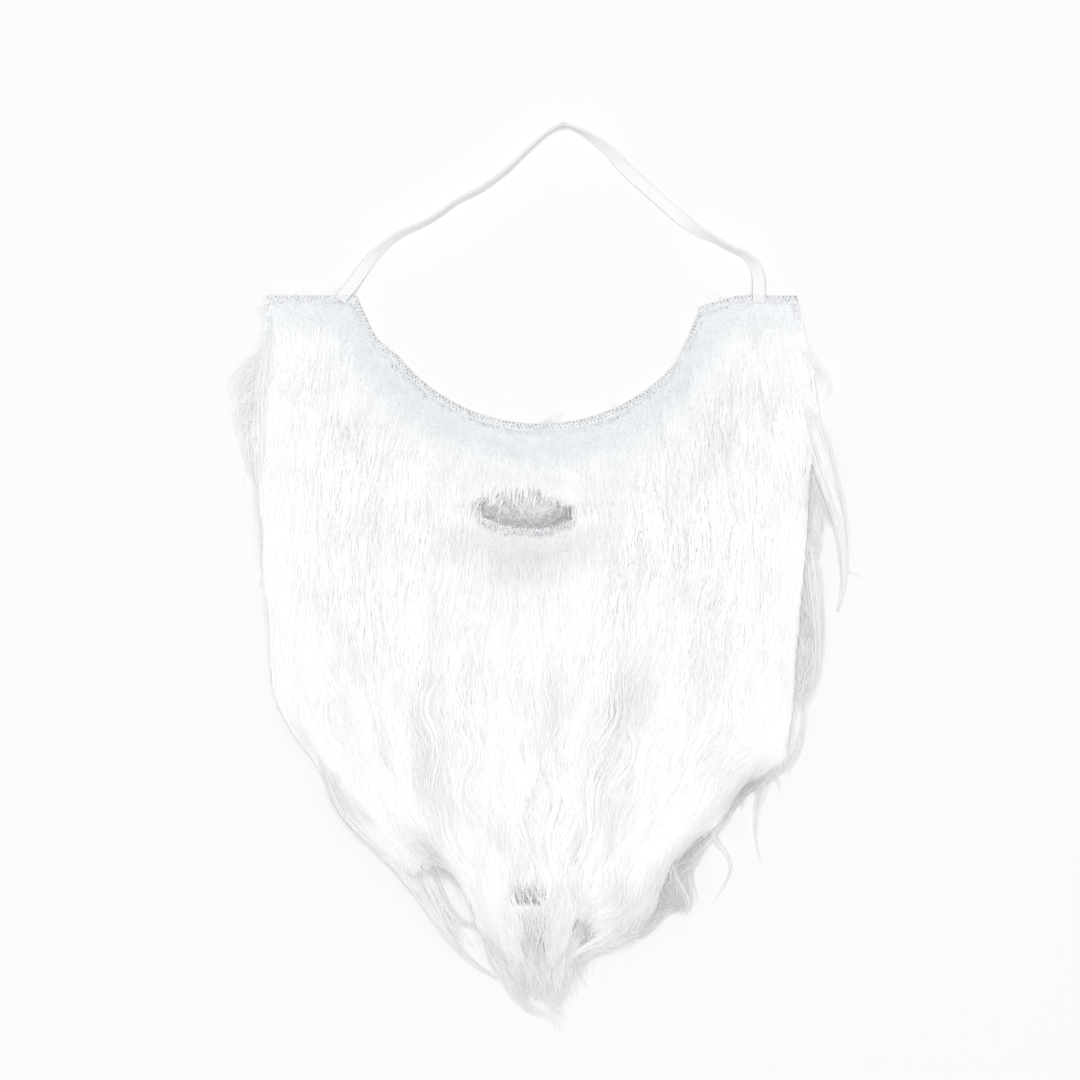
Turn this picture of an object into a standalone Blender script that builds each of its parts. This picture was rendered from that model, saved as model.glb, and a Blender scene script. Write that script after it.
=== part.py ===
"""A fake beard of long white pile on a cloth backing, lying on its back.

The row frame: +X to the right in a front view, +Y from the chin tip to the top of the strap, +Z out of the pile.
The origin is on the flat underside of the backing cloth, so the surface that it lies on is z = 0.
"""

import math
import random

import bmesh
import bpy
from mathutils import Vector

MM = 0.001

# Cloth, hems and the gap that pieces keep
CLOTH_THICKNESS = 1.5 * MM
HEM_WIDTH = 5.0 * MM
HEM_THICKNESS = 1.6 * MM
MOUTH_HEM_WIDTH = 3.6 * MM
GAP = 0.3 * MM
HEM_BOTTOM = CLOTH_THICKNESS + GAP
HEM_TOP = HEM_BOTTOM + HEM_THICKNESS

# Neckline: one round scoop between the ear tabs
NECK_RADIUS = 102 * MM
NECK_CENTRE_Y = 223 * MM
NECK_LEFT_X = -91 * MM
NECK_RIGHT_X = 79 * MM
NECK_STEPS = 12

# Mouth slit: a lens, deeper below its corners than above them
MOUTH_X = -8.3 * MM
MOUTH_Y = 74 * MM
MOUTH_HALF_WIDTH = 30 * MM
MOUTH_RISE = 11 * MM
MOUTH_DROP = 11.5 * MM
MOUTH_STEPS = 7

# Elastic strap and the thread tied round it at the top of its arch
STRAP_WIDTH = 7 * MM
STRAP_THICKNESS = 1.2 * MM
STRAP_STEP = 4.5 * MM
TIE_LENGTH = 1.6 * MM
TIE_WALL = 0.7 * MM

# Pile
MAT_THICKNESS = 3 * MM
MAT_INSET = HEM_WIDTH + GAP
PILE_PEAK = 25 * MM
PILE_RIM = 6 * MM
PILE_RAMP = 62 * MM
WAVE_LENGTH = 46 * MM
LOCK_SECTIONS = 7
LOCK_FOOT = 2.1 * MM
SWEEP_FROM_Y = 40 * MM
SWEEP_TO = (6 * MM, -285 * MM)
SEED = 7

# The cloth's outline below the tabs, clockwise from the right tab, in mm
SIDE_POINTS = [
    {"x": 147, "y": 168},
    {"x": 152, "y": 140},
    {"x": 153, "y": 84},
    {"x": 151, "y": 20},
    {"x": 143, "y": -30},
    {"x": 124, "y": -74},
    {"x": 88, "y": -113},
    {"x": 44, "y": -136},
    {"x": -14, "y": -141},
    {"x": -64, "y": -124},
    {"x": -104, "y": -88},
    {"x": -134, "y": -50},
    {"x": -150, "y": -18},
    {"x": -153, "y": 50},
    {"x": -153, "y": 130},
]

# The tabs' own corners, in mm, from the outer corner of each to the neckline
LEFT_TAB = [{"x": -153, "y": 193}, {"x": -103, "y": 193}]
RIGHT_TAB = [{"x": 90, "y": 187}, {"x": 111, "y": 193}, {"x": 144, "y": 193}]

# The strap from its sewn end on the left tab to the one on the right, in mm and degrees.
# roll 0 lies flat and 90 stands on edge; rise lifts it over the hem.
STRAP_ROUTE = [
    {"x": -112.0, "y": 190.0, "roll": 0, "rise": HEM_TOP / MM + GAP / MM},
    {"x": -109.5, "y": 194.0, "roll": 0, "rise": HEM_TOP / MM + GAP / MM},
    {"x": -106.0, "y": 198.0, "roll": 4, "rise": 3.2},
    {"x": -97.0, "y": 210.5, "roll": 22, "rise": 0.6},
    {"x": -88.0, "y": 220.0, "roll": 50, "rise": 0},
    {"x": -78.5, "y": 227.0, "roll": 64, "rise": 0},
    {"x": -64.5, "y": 233.5, "roll": 72, "rise": 0},
    {"x": -55.5, "y": 239.0, "roll": 74, "rise": 0},
    {"x": -46.5, "y": 245.5, "roll": 74, "rise": 0},
    {"x": -33.0, "y": 252.5, "roll": 72, "rise": 0},
    {"x": -19.0, "y": 262.5, "roll": 74, "rise": 0},
    {"x": -7.5, "y": 273.5, "roll": 80, "rise": 0},
    {"x": 3.5, "y": 283.5, "roll": 88, "rise": 0.5},
    {"x": 12.3, "y": 288.3, "roll": 90, "rise": 1.2},
    {"x": 19.5, "y": 286.5, "roll": 82, "rise": 0.5},
    {"x": 27.0, "y": 282.5, "roll": 64, "rise": 0},
    {"x": 38.0, "y": 274.5, "roll": 40, "rise": 0},
    {"x": 49.5, "y": 262.5, "roll": 14, "rise": 0},
    {"x": 63.0, "y": 250.5, "roll": 0, "rise": 0},
    {"x": 76.5, "y": 238.5, "roll": 4, "rise": 0},
    {"x": 88.0, "y": 229.5, "roll": 40, "rise": 0},
    {"x": 97.5, "y": 224.5, "roll": 64, "rise": 0},
    {"x": 106.5, "y": 219.5, "roll": 70, "rise": 0},
    {"x": 115.0, "y": 215.5, "roll": 62, "rise": 0},
    {"x": 120.5, "y": 209.5, "roll": 36, "rise": 0.4},
    {"x": 122.4, "y": 202.5, "roll": 10, "rise": 2.2},
    {"x": 122.6, "y": 194.5, "roll": 0, "rise": HEM_TOP / MM + GAP / MM},
    {"x": 122.6, "y": 188.5, "roll": 0, "rise": HEM_TOP / MM + GAP / MM},
]

# Rows of locks from the tabs down, in mm: each row's roots are at y, from the left x to the right x
LOCK_ROWS = [
    {"y": 178, "left": -141, "right": -118, "count": 2, "length": 56, "width": 22, "crest": 0.9},
    {"y": 178, "left": 101, "right": 132, "count": 2, "length": 56, "width": 22, "crest": 0.9},
    {"y": 150, "left": -143, "right": -104, "count": 3, "length": 66, "width": 23, "crest": 0.95},
    {"y": 150, "left": 90, "right": 140, "count": 3, "length": 66, "width": 23, "crest": 0.95},
    {"y": 118, "left": -144, "right": -56, "count": 5, "length": 72, "width": 25, "crest": 1.0},
    {"y": 118, "left": 46, "right": 142, "count": 5, "length": 72, "width": 25, "crest": 1.0},
    {"y": 105, "left": -38, "right": 24, "count": 4, "length": 33, "width": 21, "crest": 1.0},
    {"y": 82, "left": -144, "right": -50, "count": 5, "length": 82, "width": 26, "crest": 1.0},
    {"y": 82, "left": 34, "right": 142, "count": 5, "length": 82, "width": 26, "crest": 1.0},
    {"y": 46, "left": -142, "right": 140, "count": 12, "length": 92, "width": 28, "crest": 1.0},
    {"y": 8, "left": -138, "right": 136, "count": 11, "length": 96, "width": 30, "crest": 1.0},
    {"y": -32, "left": -126, "right": 126, "count": 10, "length": 98, "width": 30, "crest": 1.0},
    {"y": -72, "left": -100, "right": 104, "count": 8, "length": 96, "width": 29, "crest": 0.95},
    {"y": -108, "left": -62, "right": 66, "count": 6, "length": 92, "width": 26, "crest": 0.9},
]

# Locks that leave the outline by themselves, in mm, from root to tip; bow is the sideways bulge of the middle
STRAY_LOCKS = [
    {"x": -146, "y": 160, "tip_x": -165, "tip_y": 112, "bow": 6, "width": 16, "crest": 8},
    {"x": -147, "y": 128, "tip_x": -158, "tip_y": 74, "bow": 7, "width": 16, "crest": 9},
    {"x": -146, "y": 84, "tip_x": -156, "tip_y": 24, "bow": 2, "width": 16, "crest": 9},
    {"x": 145, "y": 166, "tip_x": 157, "tip_y": 124, "bow": -7, "width": 16, "crest": 9},
    {"x": 146, "y": 136, "tip_x": 163, "tip_y": 52, "bow": -2, "width": 18, "crest": 10},
    {"x": 148, "y": 118, "tip_x": 169, "tip_y": 34, "bow": -5, "width": 15, "crest": 9},
    {"x": 143, "y": 30, "tip_x": 150, "tip_y": -40, "bow": -4, "width": 17, "crest": 10},
    {"x": 136, "y": -16, "tip_x": 139, "tip_y": -78, "bow": -3, "width": 18, "crest": 9},
    {"x": 116, "y": -62, "tip_x": 124, "tip_y": -126, "bow": -1, "width": 13, "crest": 7},
    {"x": 96, "y": -92, "tip_x": 104, "tip_y": -134, "bow": -5, "width": 14, "crest": 7},
    {"x": 76, "y": -104, "tip_x": 84, "tip_y": -154, "bow": -4, "width": 22, "crest": 9},
    {"x": 50, "y": -116, "tip_x": 62, "tip_y": -168, "bow": -5, "width": 24, "crest": 9},
    {"x": 24, "y": -120, "tip_x": 34, "tip_y": -178, "bow": -4, "width": 24, "crest": 9},
    {"x": 20, "y": -118, "tip_x": 27, "tip_y": -196, "bow": 3, "width": 17, "crest": 8},
    {"x": 0, "y": -122, "tip_x": 12, "tip_y": -221, "bow": 5, "width": 22, "crest": 8},
    {"x": -16, "y": -120, "tip_x": -4, "tip_y": -211, "bow": 5, "width": 22, "crest": 8},
    {"x": -36, "y": -116, "tip_x": -18, "tip_y": -192, "bow": 4, "width": 20, "crest": 8},
    {"x": -76, "y": -98, "tip_x": -20, "tip_y": -192, "bow": 7, "width": 14, "crest": 7},
    {"x": -62, "y": -100, "tip_x": -36, "tip_y": -164, "bow": 5, "width": 15, "crest": 7},
]


def clear_scene():
    for obj in list(bpy.data.objects):
        bpy.data.objects.remove(obj)


def new_collection(name, hidden=False):
    collection = bpy.data.collections.new(name)
    bpy.context.scene.collection.children.link(collection)
    collection.hide_render = hidden
    return collection


def material(name, colour, roughness, metallic=0.0):
    made = bpy.data.materials.new(name)
    made.use_nodes = True
    shader = made.node_tree.nodes["Principled BSDF"]
    shader.inputs["Base Color"].default_value = (*colour, 1.0)
    shader.inputs["Roughness"].default_value = roughness
    shader.inputs["Metallic"].default_value = metallic
    return made


def mesh_object(name, bm, collection, finish):
    """A mesh object from a bmesh, with its faces turned out and shaded smooth where they are round."""
    bmesh.ops.recalc_face_normals(bm, faces=bm.faces)
    mesh = bpy.data.meshes.new(name)
    bm.to_mesh(mesh)
    bm.free()
    mesh.shade_smooth()
    mesh.set_sharp_from_angle(angle=math.radians(35))
    obj = bpy.data.objects.new(name, mesh)
    obj.data.materials.append(finish)
    collection.objects.link(obj)
    return obj


def loft(bm, rings):
    """A closed tube through rings of equal length, capped at both ends."""
    rows = [[bm.verts.new(point) for point in ring] for ring in rings]
    for low, high in zip(rows, rows[1:]):
        for i in range(len(low)):
            j = (i + 1) % len(low)
            bm.faces.new((low[i], low[j], high[j], high[i]))
    bm.faces.new(reversed(rows[0]))
    bm.faces.new(rows[-1])


def neckline():
    """The scoop's points from the left tab to the right one, in metres."""
    start = math.asin(NECK_LEFT_X / NECK_RADIUS)
    end = math.asin(NECK_RIGHT_X / NECK_RADIUS)
    turns = [start + (end - start) * i / NECK_STEPS for i in range(NECK_STEPS + 1)]
    return [(NECK_RADIUS * math.sin(t), NECK_CENTRE_Y - NECK_RADIUS * math.cos(t)) for t in turns]


def in_metres(rows):
    return [(row["x"] * MM, row["y"] * MM) for row in rows]


def top_edge():
    """The hemmed edge: left tab, neckline and right tab."""
    return in_metres(LEFT_TAB) + neckline() + in_metres(RIGHT_TAB)


def smoothed(points, steps):
    """Points of a smooth curve through the given ones (Catmull-Rom), ends included."""
    padded = [points[0]] + list(points) + [points[-1]]
    found = []
    for a, b, c, d in zip(padded, padded[1:], padded[2:], padded[3:]):
        for i in range(steps):
            t = i / steps
            found.append(tuple(
                0.5 * (2 * q + (r - p) * t + (2 * p - 5 * q + 4 * r - s) * t * t + (3 * q - p - 3 * r + s) * t ** 3)
                for p, q, r, s in zip(a, b, c, d)
            ))
    found.append(tuple(points[-1]))
    return found


def cloth_outline():
    """The panel's outline, clockwise: the hemmed top edge, then the free sides down to the chin."""
    return top_edge() + smoothed(in_metres(SIDE_POINTS), 2)


def mouth_outline(grow=0.0):
    """The slit's lens, anticlockwise from its right corner, grown outwards by that much."""
    half = MOUTH_HALF_WIDTH + 1.3 * grow
    found = []
    for side, depth in ((1, MOUTH_RISE), (-1, MOUTH_DROP)):
        for i in range(MOUTH_STEPS):
            turn = math.pi * i / MOUTH_STEPS
            x = math.cos(turn) * side
            found.append((MOUTH_X + half * x, MOUTH_Y + side * (depth + grow) * math.sin(turn) ** 1.25))
    return found


def inset(points, distance):
    """A clockwise outline moved inwards by that distance, mitred at its corners."""
    moved = []
    for i, point in enumerate(points):
        here = Vector(point)
        before = (here - Vector(points[i - 1])).normalized()
        after = (Vector(points[(i + 1) % len(points)]) - here).normalized()
        inward = Vector((before.y + after.y, -(before.x + after.x))).normalized()
        across = Vector((before.y, -before.x))
        moved.append(tuple(here + inward * distance / max(0.5, inward.dot(across))))
    return moved


def flat_shape(name, outlines, bottom, thickness, collection, finish):
    """A flat sheet from 2D curve outlines, the inner ones as holes, made a mesh."""
    curve = bpy.data.curves.new(name, "CURVE")
    curve.dimensions = "2D"
    curve.fill_mode = "BOTH"
    curve.extrude = thickness / 2
    for outline in outlines:
        spline = curve.splines.new("POLY")
        spline.points.add(len(outline) - 1)
        for point, (x, y) in zip(spline.points, outline):
            point.co = (x, y, 0, 1)
        spline.use_cyclic_u = True
    return meshed(name, curve, (0, 0, bottom + thickness / 2), collection, finish)


def meshed(name, curve, place, collection, finish):
    """The mesh object of a curve, with its caps welded."""
    drawn = bpy.data.objects.new(name + "_curve", curve)
    drawn.location = place
    collection.objects.link(drawn)
    bpy.context.view_layer.update()
    graph = bpy.context.evaluated_depsgraph_get()
    mesh = bpy.data.meshes.new_from_object(drawn.evaluated_get(graph))
    mesh.transform(drawn.matrix_world)
    bpy.data.objects.remove(drawn)
    bm = bmesh.new()
    bm.from_mesh(mesh)
    bmesh.ops.remove_doubles(bm, verts=bm.verts, dist=1e-6)
    return mesh_object(name, bm, collection, finish)


def backing_cloth(collection, finish):
    return flat_shape("backing_cloth", [cloth_outline(), mouth_outline()], 0, CLOTH_THICKNESS, collection, finish)


def top_hem(collection, finish):
    """The folded and stitched strip along the tabs and the neckline, on the cloth's upper side."""
    edge = top_edge()
    outline = cloth_outline()
    inner = inset(outline, HEM_WIDTH)[: len(edge)]
    outer = inset(outline, 0.2 * MM)[: len(edge)]
    return flat_shape("top_hem", [outer + inner[::-1]], HEM_BOTTOM, HEM_THICKNESS, collection, finish)


def mouth_hem(collection, finish):
    """The stitched ring round the slit, on the cloth's upper side."""
    rings = [mouth_outline(MOUTH_HEM_WIDTH), mouth_outline(0.2 * MM)]
    return flat_shape("mouth_hem", rings, HEM_BOTTOM, HEM_THICKNESS, collection, finish)


def side_room(x, y):
    """How far a point lies inside the pile's rim, in metres: the least distance to the sides and the top edge."""
    outline = cloth_outline()
    best = 1.0
    for i, start in enumerate(outline):
        a = Vector(start)
        b = Vector(outline[(i + 1) % len(outline)])
        along = max(0.0, min(1.0, (Vector((x, y)) - a).dot(b - a) / (b - a).length_squared))
        best = min(best, (Vector((x, y)) - a.lerp(b, along)).length)
    return best


def pile_height(x, y):
    """The crest height of the pile over a point: low at its rim and fullest in the middle of the beard."""
    ease = min(1.0, side_room(x, y) / PILE_RAMP)
    swell = math.sin(ease * math.pi / 2)
    return PILE_RIM + (PILE_PEAK - PILE_RIM) * swell


def sweep(x, y):
    """The direction in which the pile is combed at a point: straight down, then in towards the chin tip."""
    aim = Vector((SWEEP_TO[0] - x, SWEEP_TO[1] - y)).normalized()
    share = max(0.0, min(1.0, (SWEEP_FROM_Y - y) / (110 * MM)))
    return (Vector((0, -1)) * (1 - share) + aim * share).normalized()


def combed_path(x, y, length, phase):
    """A lock's centre line: steps along the sweep, with a sideways wave."""
    here = Vector((x, y))
    step = length / (LOCK_SECTIONS - 1)
    found = []
    for i in range(LOCK_SECTIONS):
        way = sweep(here.x, here.y)
        across = Vector((-way.y, way.x))
        swing = 2.4 * MM * math.sin(2 * math.pi * i * step / WAVE_LENGTH + phase) * min(1.0, i / 2)
        found.append(here + across * swing)
        here = here + way * step
    return found


def bowed_path(row):
    """A stray lock's centre line from root to tip, bulging sideways by its bow."""
    root = Vector((row["x"], row["y"])) * MM
    tip = Vector((row["tip_x"], row["tip_y"])) * MM
    across = Vector((root.y - tip.y, tip.x - root.x)).normalized()
    found = []
    for i in range(LOCK_SECTIONS):
        t = i / (LOCK_SECTIONS - 1)
        curl = math.sin(math.pi * t) * row["bow"] + math.sin(2 * math.pi * t) * 0.3 * row["bow"]
        found.append(root.lerp(tip, t) - across * curl * MM)
    return found


def lock(bm, path, width, crests):
    """One lock as a ridge with a flat foot, swelling below its root and tapering to a narrow tip."""
    rings = []
    last = len(path) - 1
    for i, here in enumerate(path):
        way = (path[min(i + 1, last)] - path[max(i - 1, 0)]).normalized()
        across = Vector((-way.y, way.x, 0))
        t = i / last
        half = 0.5 * width * min(0.62 + 1.1 * t, 1.0) * (1 - 0.86 * max(0.0, (t - 0.4) / 0.6) ** 1.6)
        top = crests[i]
        shoulder = LOCK_FOOT + 0.62 * (top - LOCK_FOOT)
        centre = Vector((here.x, here.y, 0))
        rings.append([
            centre - across * half + Vector((0, 0, LOCK_FOOT)),
            centre + across * half + Vector((0, 0, LOCK_FOOT)),
            centre + across * half * 0.72 + Vector((0, 0, shoulder)),
            centre + Vector((0, 0, top)),
            centre - across * half * 0.72 + Vector((0, 0, shoulder)),
        ])
    loft(bm, rings)


def row_locks(collection, finish, dice):
    """The combed rows of locks, each row lying over the roots of the next one."""
    for number, row in enumerate(LOCK_ROWS):
        for k in range(row["count"]):
            share = k / (row["count"] - 1)
            x = (row["left"] + (row["right"] - row["left"]) * share + dice.uniform(-2, 2)) * MM
            y = (row["y"] + dice.uniform(-6, 6)) * MM
            length = row["length"] * dice.uniform(0.88, 1.1) * MM
            path = combed_path(x, y, length, dice.uniform(0, 2 * math.pi))
            crests = []
            for i, here in enumerate(path):
                t = i / (len(path) - 1)
                rise = min(1.0, 0.45 + 1.3 * t) * (1 - 0.30 * t * t)
                crests.append(max(4.6 * MM, pile_height(here.x, here.y) * row["crest"] * rise))
            bm = bmesh.new()
            lock(bm, path, row["width"] * dice.uniform(0.92, 1.12) * MM, crests)
            mesh_object(f"lock_{number}_{k}", bm, collection, finish)


def stray_locks(collection, finish, dice):
    """The locks past the cloth's edge, which come down from the mat to the surface."""
    for number, row in enumerate(STRAY_LOCKS):
        path = bowed_path(row)
        crests = []
        for i in range(len(path)):
            t = i / (len(path) - 1)
            crests.append((row["crest"] * (1.25 - 0.85 * t)) * MM)
        bm = bmesh.new()
        lock(bm, path, row["width"] * MM, crests)
        mesh_object(f"stray_{number}", bm, collection, finish)


def fur_pile(collection, helpers, lock_helpers, finish):
    """The pile: its mat on the cloth and every lock, fused, then cut through at the mouth."""
    outlines = [inset(cloth_outline(), MAT_INSET), mouth_outline(MOUTH_HEM_WIDTH + GAP)]
    pile = flat_shape("fur_pile", outlines, HEM_BOTTOM, MAT_THICKNESS, collection, finish)
    dice = random.Random(SEED)
    row_locks(lock_helpers, finish, dice)
    stray_locks(lock_helpers, finish, dice)
    fuse = pile.modifiers.new("fuse_locks", "BOOLEAN")
    fuse.operation = "UNION"
    fuse.operand_type = "COLLECTION"
    fuse.collection = lock_helpers
    cutter = flat_shape("mouth_cutter", [mouth_outline(MOUTH_HEM_WIDTH + GAP)], -5 * MM, 60 * MM, helpers, finish)
    cut = pile.modifiers.new("cut_mouth", "BOOLEAN")
    cut.operation = "DIFFERENCE"
    cut.object = cutter
    bpy.context.view_layer.update()
    graph = bpy.context.evaluated_depsgraph_get()
    fused = bmesh.new()
    fused.from_mesh(bpy.data.meshes.new_from_object(pile.evaluated_get(graph)))
    bpy.data.objects.remove(pile)
    for helper in list(lock_helpers.objects) + list(helpers.objects):
        bpy.data.objects.remove(helper)
    keep_largest_piece(fused)
    return mesh_object("fur_pile", fused, collection, finish)


def keep_largest_piece(bm):
    """Drops the folded slivers that a Boolean leaves where ridges cross, so that one closed surface is left."""
    bmesh.ops.triangulate(bm, faces=bm.faces)
    bmesh.ops.remove_doubles(bm, verts=bm.verts, dist=2e-6)
    unseen = set(bm.faces)
    pieces = []
    while unseen:
        piece = {unseen.pop()}
        front = list(piece)
        while front:
            face = front.pop()
            for edge in face.edges:
                if len(edge.link_faces) != 2:
                    continue
                for other in edge.link_faces:
                    if other in unseen:
                        unseen.remove(other)
                        piece.add(other)
                        front.append(other)
        pieces.append(piece)
    pieces.sort(key=len)
    for piece in pieces[:-1]:
        bmesh.ops.delete(bm, geom=list(piece), context="FACES")


def strap_route():
    """The strap's stations, evenly spaced along a smooth curve through its route."""
    rows = [(r["x"] * MM, r["y"] * MM, math.radians(r["roll"]), r["rise"] * MM) for r in STRAP_ROUTE]
    fine = smoothed(rows, 12)
    stations = [fine[0]]
    for row in fine[1:]:
        if (Vector(row[:2]) - Vector(stations[-1][:2])).length >= STRAP_STEP:
            stations.append(row)
    stations[-1] = fine[-1]
    return stations


def strap_frames():
    """The strap's stations as centre, direction across its width and direction out of its face."""
    stations = strap_route()
    found = []
    for i, (x, y, roll, rise) in enumerate(stations):
        before = Vector(stations[max(i - 1, 0)][:2])
        after = Vector(stations[min(i + 1, len(stations) - 1)][:2])
        way = (after - before).normalized()
        level = Vector((-way.y, way.x, 0))
        across = level * math.cos(roll) + Vector((0, 0, 1)) * math.sin(roll)
        normal = -level * math.sin(roll) + Vector((0, 0, 1)) * math.cos(roll)
        lift = 0.5 * (STRAP_WIDTH * abs(math.sin(roll)) + STRAP_THICKNESS * abs(math.cos(roll)))
        found.append((Vector((x, y, rise + lift)), across, normal))
    return found


def box_ring(centre, across, normal, half_width, half_thickness):
    """The four corners of a rectangular section, in order."""
    corners = ((-1, -1), (1, -1), (1, 1), (-1, 1))
    return [centre + across * half_width * u + normal * half_thickness * v for u, v in corners]


def elastic_strap(collection, finish):
    """A flat ribbon that lies flat or stands on edge, its lower side always on what it rests on."""
    bm = bmesh.new()
    loft(bm, [
        box_ring(centre, across, normal, STRAP_WIDTH / 2, STRAP_THICKNESS / 2)
        for centre, across, normal in strap_frames()
    ])
    return mesh_object("elastic_strap", bm, collection, finish)


def strap_tie(collection, finish):
    """The loop of thread round the strap where it stands on edge at the top of its arch."""
    frames = strap_frames()
    crest = max(range(len(frames)), key=lambda i: frames[i][0].y)
    centre, across, normal = frames[crest]
    way = across.cross(normal)
    room = (STRAP_WIDTH / 2 + GAP, STRAP_THICKNESS / 2 + 2 * GAP)
    bm = bmesh.new()
    rings = []
    for grow in (TIE_WALL, 0):
        for side in (-1, 1):
            middle = centre + way * side * TIE_LENGTH / 2
            ring = box_ring(middle, across, normal, room[0] + grow, room[1] + grow)
            rings.append([bm.verts.new(point) for point in ring])
    outer_a, outer_b, inner_a, inner_b = rings
    for low, high in ((outer_a, outer_b), (outer_b, inner_b), (inner_b, inner_a), (inner_a, outer_a)):
        for i in range(4):
            j = (i + 1) % 4
            bm.faces.new((low[i], low[j], high[j], high[i]))
    return mesh_object("strap_tie", bm, collection, finish)


def main():
    clear_scene()
    parts = new_collection("fake_beard")
    helpers = new_collection("cutters", hidden=True)
    lock_helpers = new_collection("locks", hidden=True)
    cloth = material("backing_weave", (0.86, 0.87, 0.88), 0.9)
    hem = material("hem_stitching", (0.80, 0.82, 0.84), 0.85)
    pile = material("white_pile", (0.90, 0.91, 0.92), 0.7)
    elastic = material("white_elastic", (0.84, 0.85, 0.85), 0.65)
    thread = material("white_thread", (0.78, 0.79, 0.80), 0.8)
    backing_cloth(parts, cloth)
    top_hem(parts, hem)
    mouth_hem(parts, hem)
    fur_pile(parts, helpers, lock_helpers, pile)
    elastic_strap(parts, elastic)
    strap_tie(parts, thread)


main()
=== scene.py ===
import math
import bmesh
import bpy
import numpy as np
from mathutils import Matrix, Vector


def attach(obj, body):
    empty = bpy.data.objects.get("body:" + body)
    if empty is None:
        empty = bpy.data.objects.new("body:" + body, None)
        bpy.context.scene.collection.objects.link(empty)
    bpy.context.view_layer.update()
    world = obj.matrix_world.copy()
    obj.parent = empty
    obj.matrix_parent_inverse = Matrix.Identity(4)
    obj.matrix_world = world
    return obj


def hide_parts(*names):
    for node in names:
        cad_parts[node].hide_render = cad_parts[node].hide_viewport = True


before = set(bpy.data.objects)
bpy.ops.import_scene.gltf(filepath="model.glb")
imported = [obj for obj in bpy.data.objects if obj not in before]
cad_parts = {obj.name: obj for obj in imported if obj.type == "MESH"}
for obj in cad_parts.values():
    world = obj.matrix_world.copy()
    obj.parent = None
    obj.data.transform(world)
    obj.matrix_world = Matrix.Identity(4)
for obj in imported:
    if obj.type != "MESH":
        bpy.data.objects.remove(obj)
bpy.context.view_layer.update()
mm = 0.001

# The lie of the whole beard, in mm: where hair ends, how it is combed, where it sinks
beard = {
    "seed": 11,
    "peak": 23.0,       # pile height in the middle of the beard
    "rim": 3.2,         # pile height at its edge
    "ramp": 62.0,       # how far in from the edge the pile reaches its full height
    "hemRim": 3.8,      # pile height just inside the stitched hem
    "clothFloor": 1.9,  # upper side of the backing cloth
    "gridStep": 2.0,
    "scallopSeed": 5,   # the bright hair's edge at the lower right is scalloped
    "scallopSize": 9,
    "scallopDepth": 4.5,
}

# Outer edge of the hair, clockwise from the left tab's outer corner, in mm
hairEdge = [
    (-154, 193), (-103, 193), (-97, 180), (-92, 170), (-80, 158), (-60, 139), (-38, 127), (-12, 120),
    (12, 120), (40, 127), (60, 140), (75, 156), (84, 173), (90, 187), (111, 193), (144, 193), (146, 184),
    (149, 166), (154, 150), (156, 134), (158, 120), (158, 96), (158, 70), (156, 50), (154, 20), (155, -4),
    (153, -26), (146, -38), (141.5, -47), (142, -59), (140, -69), (129, -80), (115, -88), (109, -96),
    (101, -108), (93, -117), (89, -126), (81, -132), (83, -146), (83, -152), (71, -154), (66, -161),
    (60, -167), (50, -168), (44, -173), (32, -177), (26, -181), (24, -190), (17, -203), (12, -213),
    (8, -220), (-2, -214), (-9, -207), (-15, -193), (-25, -176), (-34, -158), (-42, -143), (-52, -130),
    (-62, -140), (-73, -138), (-89, -120), (-100, -108), (-111, -94), (-119, -79), (-127, -66),
    (-138, -53), (-145, -39), (-150, -28), (-151, -10), (-152, 13), (-155, 45), (-154, 61), (-157, 75),
    (-157, 95), (-158, 112), (-158, 128), (-157, 150), (-155, 171),
]

# Where the bright upper hair ends, inside that edge, in mm; the fringe beyond it is low and in shade
brightEdge = hairEdge[:20] + [
    (157, 118), (153, 104), (150, 93), (149, 66), (147, 40), (144, 16), (141.5, -10), (141, -28),
    (139.5, -52), (133, -68), (126, -70), (119, -69), (114, -76.5), (107, -84), (103, -95), (96, -102),
    (85, -112), (75, -122), (68, -130), (66, -140), (64, -151), (54, -160), (45, -169), (29, -174.5),
    (20, -176), (6, -178), (-12, -178), (-26, -172), (-33, -162), (-37, -149), (-44, -136), (-51, -126),
    (-60, -122), (-76, -124), (-89, -116), (-100, -106), (-111, -93), (-119, -79), (-127, -66), (-138, -53),
] + hairEdge[-12:]


def tableOf(columns, rows):
    # One dictionary for each row, under the columns' names
    names = columns.split()
    return [dict(zip(names, row)) for row in rows]


# Which way the hair is combed: degrees to the right of straight down, at places in mm
combing = tableOf("x y lean", [
    (-135, 175, -3), (-150, 130, -10), (-110, 140, -6), (-152, 60, -2), (-150, 5, 3), (-148, -28, 14),
    (-135, -52, 34), (-112, -88, 37), (-88, -118, 38), (-62, -148, 40), (-80, 140, -12), (-50, 118, -8),
    (-105, 90, -2), (-60, 60, -2), (-105, 20, 1), (-105, -30, 12), (-75, -10, 3), (-70, -60, 14),
    (-72, -95, 27), (-42, -100, 12), (-38, -135, 20), (-24, -165, 26), (-30, 0, 0), (-25, -60, 2),
    (0, 112, 0), (-8, 50, 0), (5, -20, -2), (0, -90, 0), (0, -130, 3), (2, -165, 6), (6, -200, 12),
    (50, 125, 3), (90, 150, 4), (120, 175, 1), (148, 140, 8), (150, 90, 5), (100, 90, 2), (50, 60, 2),
    (110, 30, -1), (152, 20, 0), (60, 5, -5), (150, -20, -6), (110, -30, -6), (138, -55, -18),
    (60, -45, -9), (125, -72, -38), (100, -75, -34), (95, -102, -42), (60, -90, -20), (70, -118, -34),
    (35, -110, -12), (72, -138, -8), (50, -140, -22), (45, -162, -52), (28, -172, -55), (22, -145, -4),
])

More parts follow.
